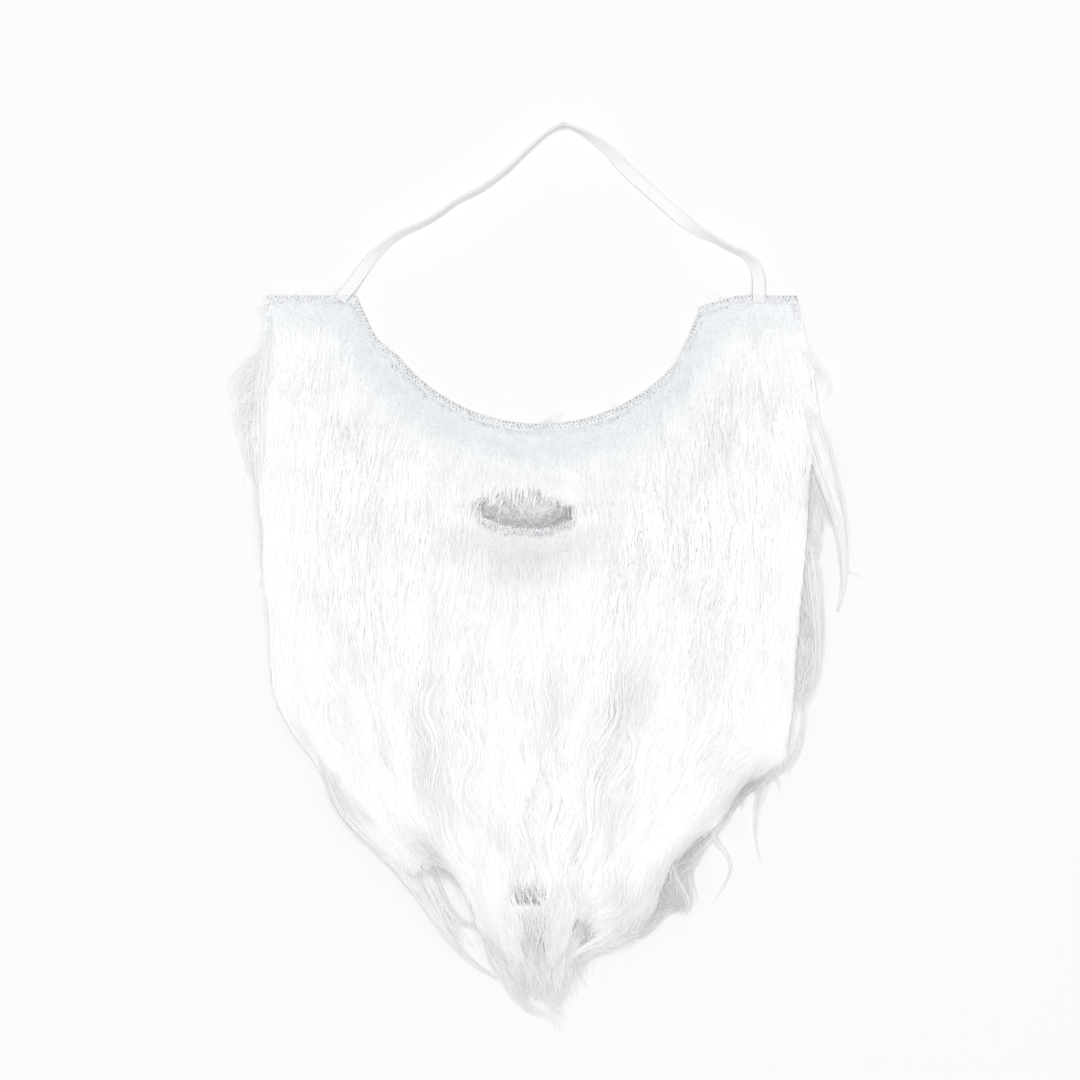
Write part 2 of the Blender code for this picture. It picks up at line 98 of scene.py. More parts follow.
# Soft hollows in the pile, in mm: how far the hair sinks there, which also paints shade into it
dips = tableOf("x y across along depth", [
    (54, -36, 13, 20, 6.5), (-58, -4, 8, 30, 4), (-12, 40, 34, 20, 5), (-100, 128, 22, 20, 3),
    (35, 86, 12, 16, 3), (8, -34, 7, 22, 3), (-66, -70, 7, 24, 4), (42, -86, 12, 26, 4),
    (92, 100, 16, 14, 3), (118, -86, 7, 8, 6), (-95, 70, 12, 18, 2), (96, 20, 8, 26, 3),
    (108, -92, 7, 7, 5), (81, -124, 6, 8, 5), (66, -150, 5, 9, 4), (58, -163, 9, 5, 4),
    (-60, -122, 6, 10, 5), (152, 14, 5, 22, 4),
])

# Zones in the shade of the locks above them, in mm, how far they lean and how much darker their hair is
dusk = tableOf("x y across along lean tone", [
    (74, -142, 11, 15, 0, 0.15), (55, -156, 13, 9, 0, 0.07), (120, -79, 5, 10, -48, 0.16),
    (108, -91, 5, 11, -42, 0.16), (85, -116, 6, 14, -38, 0.17), (151, 80, 4, 14, 0, 0.14),
    (151, 0, 4, 34, 0, 0.04), (-57, -123, 3.2, 14, 36, 0.15), (-50, -132, 2.4, 9, 40, 0.1),
    (-71, -113, 7, 13, 32, 0.06), (-99, -97.5, 2.6, 11, 40, 0.16), (-132, -55, 3.5, 10, 35, 0.08),
    (-104, -58, 24, 44, 20, 0.018), (-8, 50, 34, 14, 0, 0.03), (-8, 88, 36, 8, 0, 0.025),
    (-6, 14, 26, 22, 0, 0.03), (43, -39, 10, 15, -12, 0.05), (100, 128, 26, 20, 0, 0.03),
    (-3, -163, 15, 16, 0, 0.085), (45, -143, 9, 14, -8, 0.09), (-28, -165, 9, 18, 25, 0.04),
])

# Places with no upper hair, in mm, where the layer under it shows; a high power squares them, and tone is
# the painted shade on the underpile inside
pockets = tableOf("x y halfWidth halfHeight power level tone", [
    (-7.2, -138.4, 11.4, 7.2, 4, 6.4, 0.72),
    (25.6, -160.8, 8.8, 9.6, 2, 3.6, 0.78),
])

# Slit for the mouth, as in the cloth
mouth = {"x": -8.5, "y": 74.4, "halfWidth": 31.0, "rise": 11.5, "drop": 11.5, "tilt": 3.5}

# Size and lie of the locks, in mm, from the chin (y -140) up to the tabs (y 190)
lockHeights = [-140, -60, 20, 60, 90, 120, 190]
lockLengths = [84, 94, 92, 78, 54, 34, 26]
underLocks = {
    "rowSpacing": 9.0,
    "lockSpacing": 6.4,
    "strandsEach": 15,
    "pointsEach": 7,
    "fibreWidth": 0.39,
    "widths": (8.0, 13.0),
    "swings": [22, 20, 16, 12, 8, 7, 7],      # swing of the wave, in degrees
    "gathers": [0.70, 0.70, 0.62, 0.5, 0.4, 0.3, 0.25],      # how far a lock closes at its tip
    "climbs": (0.94, 1.0),      # share of the pile's height near the root and at the tip
    "dome": 1.0,
    "roundness": 0.08,      # how far a fibre at a lock's side turns outwards, in radians
    # Painted shade: these lower locks are a little darker than the top locks, and darker at their sides
    "tone": -0.5,
    "sideShade": 0.6,
}
topLocks = {
    "rowSpacing": 23.0,
    "lockSpacing": 15.0,
    "strandsEach": 62,
    "pointsEach": 9,
    "fibreWidth": 0.32,
    "widths": (11.0, 21.0),
    "swings": [29, 27, 22, 16, 10, 8, 8],
    "gathers": [0.86, 0.84, 0.78, 0.66, 0.5, 0.4, 0.3],
    "climbs": (0.965, 1.07),
    "dome": 2.6,
    "roundness": 0.16,
    # Painted light: the top locks are a little lighter than the under locks; their sides take painted shade
    "tone": 0.5,
    "sideShade": 2.2,
}

# Locks that stand out of the outline or cross the pile: width, height and the places run through, in mm.
# Gather is how far a lock closes, shade how much painted shade darkens it, curl and ring how its fibres
# wave and turn.
strayLocks = tableOf("width strands height gather shade curl ring fibreWidth through", [
    (9, 300, 9, 0.93, 0.05, 0.7, 0, 0.3,
     [(148, 134), (152, 120), (156, 106), (160, 92), (165.5, 76), (169, 60), (170.5, 46), (170.5, 32),
      (167, 16)]),
    (8, 120, 4, 0.5, 0.09, 0.7, 0, 0.3, [(146, 108), (150, 95), (155, 83), (160, 73), (164, 63)]),
    (6, 130, 4, 0.5, 0.08, 0.7, 0, 0.3, [(149, 92), (152, 78), (155, 66), (156, 54), (153.5, 43)]),
    (1.4, 5, 3, 0.6, 0, 0.7, 0, 0.3, [(170, 44), (172, 39), (176, 37), (182, 35)]),
    (8, 60, 7, 0.5, 0, 1.3, 1.6, 0.24, [(147, 162), (154, 153), (160, 146), (161, 139), (157, 134)]),
    (7, 130, 5, 0.6, 0.05, 0.7, 0, 0.3,
     [(150, 60), (153, 30), (155.5, 0), (154, -22), (148, -36), (143, -42)]),
    (8, 90, 5, 0.6, 0.06, 0.7, 0, 0.3, [(141, -28), (143, -48), (142.5, -62), (136, -76)]),
    (6, 34, 5, 0.96, 0.06, 0.7, 0, 0.3,
     [(135, -52), (129, -66), (125, -80), (122, -94), (121, -105), (121.6, -114), (124, -125)]),
    (6, 90, 5, 0.5, 0.02, 0.7, 0, 0.3, [(146, -34), (144, -48), (141, -60), (134, -72), (127, -80)]),
    (6, 50, 6, 0.85, 0.05, 0.7, 0, 0.3, [(124, -62), (119, -74), (115, -86), (113, -97)]),
    (6, 60, 6, 0.7, 0.05, 0.7, 0, 0.3, [(112, -78), (107, -90), (103, -101), (97, -110)]),
    (2.5, 7, 4, 0.9, 0, 0.7, 0, 0.3, [(131, -72), (134, -81), (135.5, -90)]),
    (4.5, 20, 5, 0.97, 0.08, 0.7, 0, 0.3,
     [(101, -88), (96, -102), (98.3, -112), (104, -119.5), (107, -128), (103.3, -138), (95.8, -149)]),
    (6, 60, 8, 0.85, 0, 0.7, 0, 0.3, [(128, -46), (124, -58), (118, -68), (114, -78), (113, -84)]),
    (6, 70, 9, 0.85, 0, 0.7, 0, 0.3, [(118, -52), (112, -66), (104, -78), (99, -88), (97.5, -97)]),
    (6, 70, 9, 0.85, 0, 0.7, 0, 0.3, [(108, -66), (100, -80), (92, -92), (87, -103), (86.5, -113)]),
    (6, 70, 9, 0.85, 0, 0.7, 0, 0.3, [(96, -82), (88, -94), (80, -105), (75, -116), (76, -127)]),
    (9, 150, 7, 0.3, 0.02, 0.7, 0, 0.3,
     [(82, -98), (72, -114), (69, -124), (76, -135), (81, -147), (77, -154)]),
    (3, 60, 6, 0.5, 0, 0.7, 0, 0.3, [(74, -122), (75, -130), (79, -139), (83.5, -148), (82, -154)]),
    (7, 70, 4, 0.3, 0.14, 0.7, 0, 0.3, [(92, -104), (84, -118), (81, -132), (84, -146), (82, -153)]),
    (10, 190, 12, 0.45, 0, 0.7, 0, 0.3,
     [(66, -96), (62, -112), (61, -125), (65, -138), (71, -147), (65, -156)]),
    (9, 230, 14, 0.55, 0, 0.7, 0, 0.3,
     [(60, -100), (54, -118), (50, -132), (53, -144), (55, -154), (48, -166), (30, -174), (18, -175)]),
    (9, 230, 15, 0.6, 0, 0.7, 0, 0.3,
     [(48, -104), (41, -122), (37, -138), (38.5, -150), (43, -159), (39, -168), (28, -173), (17, -173)]),
    (9, 170, 15, 0.5, 0.02, 0.7, 0, 0.3,
     [(34, -104), (28, -122), (20, -138), (13, -150), (12, -160), (14, -172), (13, -182)]),
    (9.5, 560, 6, 0.93, 0.07, 0.7, 0, 0.3,
     [(-124, -60), (-116, -77), (-106.5, -95), (-96, -107.5), (-86, -118), (-75, -131), (-64.5, -146),
      (-56.5, -158.5), (-50, -168.5), (-39.5, -180), (-31, -186), (-24, -190)]),
    (10, 400, 7, 0.86, 0.07, 0.7, 0, 0.3,
     [(-98, -92), (-84, -106), (-73, -118), (-65.5, -129), (-60, -138), (-55.5, -147), (-49, -155),
      (-41, -160), (-34.5, -162)]),
    (12, 480, 8, 0.6, 0.05, 0.7, 0, 0.3,
     [(-116, -72), (-102, -90), (-89, -104), (-78, -117), (-69, -130), (-63, -142), (-58, -152)]),
    (5, 90, 4, 0.6, 0.04, 1.2, 0, 0.3, [(-66, -130), (-60, -143), (-55, -154), (-50, -164), (-43, -171)]),
    (3, 14, 3, 0.5, 0, 1.2, 0, 0.3, [(-56, -152), (-49, -160), (-42, -168), (-36, -175)]),
    (9, 90, 6, 0.3, 0.05, 1.4, 6.0, 0.24,
     [(-150, 160), (-160, 152), (-167, 145), (-170, 137), (-166, 130)]),
    (9, 90, 6, 0.3, 0.05, 1.4, 6.0, 0.24,
     [(-150, 146), (-161, 136), (-167, 127), (-168, 118), (-162, 111)]),
    (7, 90, 6, 0.4, 0.05, 1.0, 3.0, 0.26,
     [(-150, 130), (-159, 118), (-162, 106), (-160, 94), (-156, 84)]),
    (4, 14, 4, 0.8, 0, 0.7, 0, 0.3, [(-151, 46), (-155, 36), (-158, 28)]),
    (6.5, 260, 9, 0.0, 0.03, 2.4, 0, 0.24,
     [(-150, 182), (-153, 156), (-155, 128), (-155, 98), (-153, 66), (-153, 40)]),
    (6, 26, 7, 0.3, 0, 1.5, 0, 0.2, [(-4, 114), (2, 119), (8, 123), (11, 128)]),
    (5, 18, 7, 0.3, 0, 1.5, 0, 0.2, [(14, 114), (18, 119), (19, 124)]),
    (1.8, 22, 6, 0.0, 0, 0.7, 0, 0.3,
     [(-24, 91), (-20.4, 87), (-15, 83.5), (-8.7, 82), (0.7, 81.5), (6.7, 85), (10, 89)]),
    (3, 36, 6, 0.4, 0, 0.7, 0, 0.3, [(-24, 93), (-20.4, 85), (-15, 78.5), (-10, 74), (-3, 71)]),
    (4, 44, 6, 0.3, 0, 0.7, 0, 0.3, [(22, 92), (16, 84.5), (8, 78.5), (1, 74.5), (-7, 72)]),
    (2.6, 18, 5, 0.3, 0, 0.7, 0, 0.3, [(24, 87), (19, 80), (12, 75), (4, 70.5)]),
    (6, 40, 5, 0.2, 0, 0.7, 0, 0.3, [(-10, 92), (-9, 84), (-5, 77), (-3, 71)]),
    (6, 40, 5, 0.2, 0, 0.7, 0, 0.3, [(6, 92), (5, 84), (-1, 78), (-8, 74)]),
    (3, 18, 4, 0.3, 0, 0.7, 0, 0.3, [(-30, 86), (-27, 79), (-22, 74), (-14, 69)]),
    (7, 70, 5, 0.7, 0.03, 1.3, 0, 0.2,
     [(-33.5, -161), (-22, -180), (-14.5, -193), (-7, -206.5), (2.7, -210), (8.4, -214.5), (10.3, -222)]),
    (17, 210, 7, 0.3, 0.01, 0.7, 0, 0.28, [(-11, -150), (-9, -163), (-5, -176), (-1, -190), (4, -200)]),
    (14, 150, 7, 0.3, 0.02, 0.7, 0, 0.28, [(12, -150), (11, -163), (9, -176), (8, -190)]),
    (8, 110, 4, 0.2, 0.02, 1.0, 0, 0.22, [(-29, -168), (-21, -182), (-14, -194), (-7, -202), (0, -207)]),
    (7, 100, 5, 0.4, 0.02, 0.7, 0, 0.26,
     [(-31, -148), (-24.5, -162), (-15.4, -178), (-10.6, -191), (-6.8, -203)]),
    (6, 100, 5, 0.4, 0.05, 1.0, 0, 0.26,
     [(-20, -146), (-15.4, -157), (-7.8, -172), (-4, -184), (-6, -193), (-1, -202)]),
    (6, 110, 5, 0.6, 0.04, 1.0, 0, 0.26,
     [(-10, -146), (-7.8, -152), (-1, -168), (2, -181), (3, -191), (1.8, -199), (8, -205), (11.3, -211)]),
    (7, 120, 5, 0.6, 0.05, 1.0, 0, 0.26,
     [(2, -146), (3.7, -154), (6.5, -170), (11.3, -182), (12.7, -193), (9.8, -205), (12.7, -212)]),
    (7, 90, 4, 0.8, 0.05, 0.7, 0, 0.24,
     [(10, -148), (12.2, -159), (14, -171), (18, -181), (22.7, -188.5), (26.5, -195.5)]),
    (7, 60, 3, 0.3, 0.04, 1.0, 0, 0.24, [(15, -164), (18, -171), (22.7, -177), (26, -182), (26.5, -190)]),
    (7, 80, 4, 0.4, 0.04, 1.2, 0, 0.24, [(12, -168), (14, -178), (17.5, -189), (15.5, -198), (14, -206)]),
    (7, 30, 2, 0.2, 0, 1.6, 0, 0.2, [(0, -192), (5, -203), (9, -212), (9, -220)]),
])

strayFibres = {"pointsEach": 12, "stations": 60, "longestStart": 0.22}


def smoothThrough(points, steps):
    # Catmull-Rom curve through the rows of an array, both ends kept
    rows = np.asarray(points, float)
    padded = np.vstack([2 * rows[0] - rows[1], rows, 2 * rows[-1] - rows[-2]])
    t = (np.arange(steps) / steps)[:, None]
    found = []
    for a, b, c, d in zip(padded, padded[1:], padded[2:], padded[3:]):
        found.append(0.5 * (2 * b + (c - a) * t + (2 * a - 5 * b + 4 * c - d) * t ** 2
                            + (3 * b - a - 3 * c + d) * t ** 3))
    return np.vstack(found + [rows[-1:]])


def evenSteps(curve, count):
    # The same curve with its points evenly spaced along it
    run = np.concatenate([[0], np.cumsum(np.linalg.norm(np.diff(curve[:, :2], axis=0), axis=1))])
    at = np.linspace(0, run[-1], count)
    return np.stack([np.interp(at, run, column) for column in curve.T], axis=1)


def distanceTo(points, line, closed=True):
    best = np.full(len(points), 1e3)
    for i in range(len(line) if closed else len(line) - 1):
        a, b = line[i], line[(i + 1) % len(line)]
        along = np.clip(((points - a) @ (b - a)) / ((b - a) @ (b - a)), 0, 1)
        best = np.minimum(best, np.linalg.norm(points - a - along[:, None] * (b - a), axis=1))
    return best


def insideOf(points, line):
    x, y = points.T
    inside = np.zeros(len(points), bool)
    for (x0, y0), (x1, y1) in zip(np.roll(line, 1, axis=0), line):
        if y0 != y1:
            inside ^= ((y0 > y) != (y1 > y)) & (x < x0 + (y - y0) * (x1 - x0) / (y1 - y0))
    return inside


def mouthLine(steps=24):
    # Lens of the mouth slit, anticlockwise from its right corner
    turns = np.pi * np.arange(steps) / steps
    rows = []
    for side, depth in ((1, mouth["rise"]), (-1, mouth["drop"])):
        x = mouth["x"] + mouth["halfWidth"] * np.cos(turns) * side
        y = mouth["y"] + side * depth * np.sin(turns) ** 1.35
        y = y - math.tan(math.radians(mouth["tilt"])) * (x - mouth["x"])
        rows.append(np.stack([x, y], axis=1))
    return np.vstack(rows)


# Fields over the floor, in mm, read by every lock
gridX = np.arange(-200, 201, beard["gridStep"])
gridY = np.arange(-245, 216, beard["gridStep"])


def readField(field, x, y):
    u = np.clip((x - gridX[0]) / beard["gridStep"], 0, len(gridX) - 1.001)
    v = np.clip((y - gridY[0]) / beard["gridStep"], 0, len(gridY) - 1.001)
    i, j = u.astype(int), v.astype(int)
    fu, fv = u - i, v - j
    return ((field[j, i] * (1 - fu) + field[j, i + 1] * fu) * (1 - fv)
            + (field[j + 1, i] * (1 - fu) + field[j + 1, i + 1] * fu) * fv)


def softNoise(dice, size):
    # Smooth random field from -1 to 1 with bumps of about that size in mm
    coarse = dice.uniform(-1, 1, (int(470 / size) + 4, int(410 / size) + 4))
    u = (gridX - gridX[0]) / size
    v = (gridY - gridY[0]) / size
    i, j = u.astype(int), v.astype(int)
    fu = (u - i) ** 2 * (3 - 2 * (u - i))
    fv = ((v - j) ** 2 * (3 - 2 * (v - j)))[:, None]
    low = coarse[j][:, i] * (1 - fu) + coarse[j][:, i + 1] * fu
    high = coarse[j + 1][:, i] * (1 - fu) + coarse[j + 1][:, i + 1] * fu
    return low * (1 - fv) + high * fv


def layFields():
    shape = (len(gridY), len(gridX))
    points = np.stack(np.meshgrid(gridX, gridY), axis=2).reshape(-1, 2)
    edge = np.array(hairEdge, float)
    hemLine = edge[:16]
    lens = mouthLine()
    inEdge = insideOf(points, edge)
    edgeRoom = np.where(inEdge, 1, -1) * distanceTo(points, edge)
    bright = np.array(brightEdge, float)
    brightRoom = np.where(insideOf(points, bright), 1, -1) * distanceTo(points, bright)
    lowRight = np.clip((points[:, 0] - 30) / 25, 0, 1) * np.clip((-40 - points[:, 1]) / 25, 0, 1)
    hemRoom = distanceTo(points, hemLine, closed=False)
    neckRoom = distanceTo(points, edge[1:14], closed=False)
    mouthRoom = np.where(insideOf(points, lens), -1, 1) * distanceTo(points, lens)
    places = np.array([(row["x"], row["y"]) for row in combing], float)
    leans = np.radians([row["lean"] for row in combing])
    weights = 1 / (((points[:, None] - places) ** 2).sum(axis=2) + 60) ** 1.6
    lean = (weights * leans).sum(axis=1) / weights.sum(axis=1)
    x, y = points.T
    sunk = np.zeros(len(points))
    for row in dips:
        aside, down = (x - row["x"]) / row["across"], (y - row["y"]) / row["along"]
        sunk += row["depth"] * np.exp(-aside ** 2 - down ** 2)
    # Painted shade in the hollows, by how far the hair sinks
    shade = sunk / 6.5
    room = np.clip(edgeRoom, 0, beard["ramp"]) / beard["ramp"]
    pile = beard["rim"] + (beard["peak"] - beard["rim"]) * np.sin(room * np.pi / 2)
    nearHem = np.clip((hemRoom - 4) / 34, 0, 1)
    pile = np.minimum(pile, beard["hemRim"] + (beard["peak"] - beard["hemRim"]) * nearHem ** 0.8)
    nearMouth = np.clip((mouthRoom - 3) / 26, 0, 1)
    below = y < mouth["y"]
    pile = np.where(below, np.minimum(pile, 4.5 + 18 * nearMouth), np.minimum(pile, 9 + 12 * nearMouth))
    tail = np.clip((y + 205) / 75, 0, 1)
    pile *= 0.32 + 0.68 * tail * tail * (3 - 2 * tail)
    pile = np.maximum(pile - sunk * (pile / beard["peak"]), 2.6)
    dice = np.random.default_rng(beard["seed"])
    found = {"edgeRoom": edgeRoom, "brightRoom": brightRoom, "hemRoom": hemRoom, "neckRoom": neckRoom,
             "mouthRoom": mouthRoom, "lean": lean, "pile": pile, "lowRight": lowRight}
    found = {name: values.reshape(shape) for name, values in found.items()}
    slopeY, slopeX = np.gradient(found["brightRoom"], beard["gridStep"])
    steep = np.sqrt(slopeX ** 2 + slopeY ** 2) + 1e-6
    found["inwardX"] = slopeX / steep
    found["inwardY"] = slopeY / steep
    edgeY, edgeX = np.gradient(found["edgeRoom"], beard["gridStep"])
    downward = np.where(edgeX > 0, -1, 1)
    found["besideX"] = edgeY * downward * -1
    found["besideY"] = -np.abs(edgeX)
    found["shade"] = shade.reshape(shape)
    gloom = np.zeros(len(points))
    for row in dusk:
        tilt = math.radians(row["lean"])
        aside = (x - row["x"]) * math.cos(tilt) + (y - row["y"]) * math.sin(tilt)
        down = (x - row["x"]) * math.sin(tilt) - (y - row["y"]) * math.cos(tilt)
        gloom += row["tone"] * np.exp(-(aside / row["across"]) ** 2 - (down / row["along"]) ** 2)
    found["gloom"] = gloom.reshape(shape)
    scallops = softNoise(np.random.default_rng(beard["scallopSeed"]), beard["scallopSize"])
    found["brightRoom"] += beard["scallopDepth"] * found["lowRight"] * scallops
    found["underRoom"] = found["brightRoom"] - 3.0 * found["lowRight"]
    for name, size in (("swirl", 46), ("drift", 34), ("roll", 40)):
        found[name] = softNoise(dice, size)
    found["pile"] += 1.1 * softNoise(dice, 20) * found["pile"] / beard["peak"]
    return found


fields = layFields()
print("fields of the pile laid out")


def fieldAt(name, x, y):
    return readField(fields[name], x, y)


def makeMesh(name, points, faceSizes, corners, finish, colours=None, bakeMap=None):
    # One mesh object from arrays; points in mm
    mesh = bpy.data.meshes.new(name)
    mesh.vertices.add(len(points))
    mesh.vertices.foreach_set("co", (points * mm).astype(np.float32).ravel())
    mesh.loops.add(len(corners))
    mesh.loops.foreach_set("vertex_index", corners.astype(np.int32))
    mesh.polygons.add(len(faceSizes))
    starts = np.concatenate([[0], np.cumsum(faceSizes)[:-1]])
    mesh.polygons.foreach_set("loop_start", starts.astype(np.int32))
    mesh.polygons.foreach_set("use_smooth", np.ones(len(faceSizes), bool))
    mesh.update(calc_edges=True)
    if colours is not None:
        layer = mesh.color_attributes.new("tint", "FLOAT_COLOR", "POINT")
        rgba = np.ones((len(points), 4), np.float32)
        rgba[:, :3] = colours
        layer.data.foreach_set("color", rgba.ravel())
    if bakeMap is not None:
        layer = mesh.uv_layers.new(name="OFBake")
        layer.uv.foreach_set("vector", bakeMap[corners].astype(np.float32).ravel())
    mesh.materials.append(finish)
    made = bpy.data.objects.new(name, mesh)
    bpy.context.scene.collection.objects.link(made)
    return made


def fibreMesh(name, paths, widths, rolls, tints, finish):
    # Every path is one fibre: a flat ribbon that narrows to a point, turned by its own roll
    count, steps = paths.shape[:2]
    run = np.gradient(paths, axis=1)
    run /= np.linalg.norm(run, axis=2, keepdims=True) + 1e-9
    side = np.stack([-run[..., 1], run[..., 0], np.zeros(run.shape[:2])], axis=2)
    side /= np.linalg.norm(side, axis=2, keepdims=True) + 1e-9
    rise = np.cross(run, side)
    across = side * np.cos(rolls)[:, None, None] + rise * np.sin(rolls)[:, None, None]
    along = np.linspace(0, 1, steps)
    shape = np.minimum(1, 0.55 + 3 * along) * (1 - 0.75 * along ** 3)
    half = 0.5 * widths[:, None, None] * shape[None, :, None]
    left = (paths - across * half)[:, :-1]
    right = (paths + across * half)[:, :-1]
    each = 2 * (steps - 1) + 1
    points = np.empty((count, each, 3))
    points[:, 0:-1:2] = left
    points[:, 1:-1:2] = right
    points[:, -1] = paths[:, -1]
    quads = np.array([[2 * i, 2 * i + 1, 2 * i + 3, 2 * i + 2] for i in range(steps - 2)]).ravel()
    corners = np.concatenate([quads, [each - 3, each - 2, each - 1]])
    corners = (np.arange(count)[:, None] * each + corners).ravel()
    sizes = np.tile(np.array([4] * (steps - 2) + [3]), count)
    shade = np.repeat(tints, 2, axis=1)[:, :each]
    cells = int(math.ceil(math.sqrt(count)))
    cellX = (np.arange(count) % cells)[:, None]
    cellY = (np.arange(count) // cells)[:, None]
    bakeX = np.tile([0.2, 0.8], steps)[:each]
    bakeX[-1] = 0.5
    bakeY = 0.08 + 0.84 * np.repeat(along, 2)[:each]
    bakeMap = np.stack([(cellX + bakeX) / cells, (cellY + bakeY) / cells], axis=2)
    points, shade, bakeMap = points.reshape(-1, 3), shade.reshape(-1, 3), bakeMap.reshape(-1, 2)
    return makeMesh(name, points, sizes, corners, finish, shade, bakeMap)


# What each influence on the hair's tone adds to its red, green and blue; gloom, shade, deep, tail, hem,
# neck and rim paint shade into it, and own also carries each lock's painted shade
shading = {
    "plain": (0.939, 0.945, 0.943),
    "own": (0.012, 0.012, 0.012),
    "along": (0.01, 0.01, 0.01),
    "gloom": (-1.04, -1.03, -1.0),
    "shade": (-0.061, -0.059, -0.045),
    "deep": (-0.034, -0.034, -0.03),
    "tail": (-0.038, -0.037, -0.03),
    "hem": (-0.036, -0.029, -0.012),
    "neck": (-0.072, -0.066, -0.06),
    "rim": (-0.036, -0.034, -0.03),
    "cream": (0.006, 0.001, -0.016),
}


def shadeOf(x, y, z, along, own):
    # Painted shade: cooler near the hem and darker deep in the pile, at the tail, the neckline, the bright
    # hair's rim and in the shaded zones and hollows; a breath of cream at the lower sides
    felt = {
        "plain": 1,
        "own": own[..., None],
        "along": along,
        "gloom": fieldAt("gloom", x, y),
        "shade": fieldAt("shade", x, y),
        "deep": 1 - np.clip((z - 1) / (fieldAt("pile", x, y) + 1), 0, 1),
        "tail": np.clip((-148 - y) / 50, 0, 1),
        "hem": np.clip(1 - fieldAt("hemRoom", x, y) / 42, 0, 1),
        "neck": np.clip(1 - fieldAt("neckRoom", x, y) / 26, 0, 1),
        "rim": np.clip(1 - fieldAt("brightRoom", x, y) / 11, 0, 1) * np.clip((90 - y) / 70, 0, 1),
        "cream": np.clip((-20 - y) / 140, 0, 1) * np.clip(np.abs(x - 5) / 90, 0.15, 1),
    }
    tints = sum(np.asarray(share)[..., None] * shading[name] for name, share in felt.items())
    return np.clip(tints, 0, 0.98)


def inPocket(row, x, y, grow=0.0):
    # Under 1 inside the pocket's rounded outline
    across = np.abs(x - row["x"]) / (row["halfWidth"] + grow)
    along = np.abs(y - row["y"]) / (row["halfHeight"] + grow)
    return across ** row["power"] + along ** row["power"]


def cutShort(x, y, z, early, dice):
    # How much of each strand is left before it leaves the outline, the mouth's edge or a pocket's edge
    count = len(x)
    ragged = (fieldAt("lowRight", x, y) + 2.6 * np.clip((-150 - y) / 20, 0, 1)) * early[:, None]
    outside = fieldAt("brightRoom", x, y) < ragged - np.abs(dice.normal(0, 0.8, count))[:, None]
    hang = np.abs(dice.normal(0, 1, count)) * np.where(y[:, 0] > mouth["y"], 2.6, 0.8)
    middle = 1 - np.clip(np.abs(x - mouth["x"]) / mouth["halfWidth"], 0, 1) ** 2
    overMouth = fieldAt("mouthRoom", x, y) < (1.2 - hang[:, None]) * middle
    blocked = outside | overMouth
    for row in pockets:
        slack = np.abs(dice.normal(0, 0.08, count))[:, None]
        blocked |= (inPocket(row, x, y) < 1 - slack) & (z > row["level"])
    blocked[:, 0] = False
    first = np.where(blocked.any(axis=1), blocked.argmax(axis=1), x.shape[1] - 1)
    return first / (x.shape[1] - 1)


def rowsOfRoots(kind, dice):
    # Roots in staggered rows over the cloth, each the root of one lock
    roots = []
    for number, y in enumerate(np.arange(-137, 190, kind["rowSpacing"])):
        x = np.arange(-156, 157, kind["lockSpacing"]) + (number % 2) * kind["lockSpacing"] / 2
        roots.append(np.stack([x, np.full(len(x), y)], axis=1))
    roots = np.vstack(roots)
    return roots + dice.uniform(-0.5, 0.5, roots.shape) * [kind["lockSpacing"], kind["rowSpacing"]]


def rootsBeside(room, near, far, count, dice, below=300.0):
    # Extra roots in a band beside an edge, where no hair falls from above
    spots = np.stack([dice.uniform(-152, 150, 40000), dice.uniform(-138, 188, 40000)], axis=1)
    away = fieldAt(room, spots[:, 0], spots[:, 1])
    return spots[(away > near) & (away < far) & (spots[:, 1] < below)][:count]


def onCloth(roots):
    x, y = roots.T
    wanted = (fieldAt("edgeRoom", x, y) > 1.5) & (fieldAt("hemRoom", x, y) > 5.4)
    return roots[wanted & (fieldAt("mouthRoom", x, y) > 4.2) & (y > -140)]


# Centre lines of the locks, in mm
guides = {"step": 3.5, "steps": 36, "waveLength": 48}


def combGuides(roots, kind, dice):
    # One wavy centre line per lock, in steps along the combing; neighbours wave nearly together
    step, steps, count = guides["step"], guides["steps"], len(roots)
    x, y = roots.T
    swing = np.radians(np.interp(y, lockHeights, kind["swings"])) * dice.uniform(0.55, 1.3, count)
    waveLength = guides["waveLength"] + 9 * fieldAt("roll", x, y) + dice.uniform(-4, 4, count)
    phase = 5.5 * fieldAt("swirl", x, y) + y / 7 + dice.normal(0, 0.7, count)
    drift = np.radians(6 * fieldAt("drift", x, y) + dice.normal(0, 2.5, count))
    guide = np.empty((count, steps, 2))
    heading = np.empty((count, steps))
    here = roots.copy()
    for i in range(steps):
        turn = fieldAt("lean", here[:, 0], here[:, 1]) + drift
        turn += swing * min(1, i / 4) * np.sin(2 * np.pi * i * step / waveLength + phase)
        guide[:, i] = here
        heading[:, i] = turn
        here = here + step * np.stack([np.sin(turn), -np.cos(turn)], axis=1)
    return guide, heading


def alongGuide(guide, heading, reach):
    # Places and sideways directions on each lock's guide at those distances
    at = np.clip(reach / guides["step"], 0, guide.shape[1] - 1.001)
    i = at.astype(int)
    f = (at - i)[..., None]
    lock = np.arange(len(guide))[:, None, None]
    place = guide[lock, i] * (1 - f) + guide[lock, i + 1] * f
    turn = heading[lock, i] * (1 - f[..., 0]) + heading[lock, i + 1] * f[..., 0]
    return place, np.stack([np.cos(turn), np.sin(turn)], axis=3)


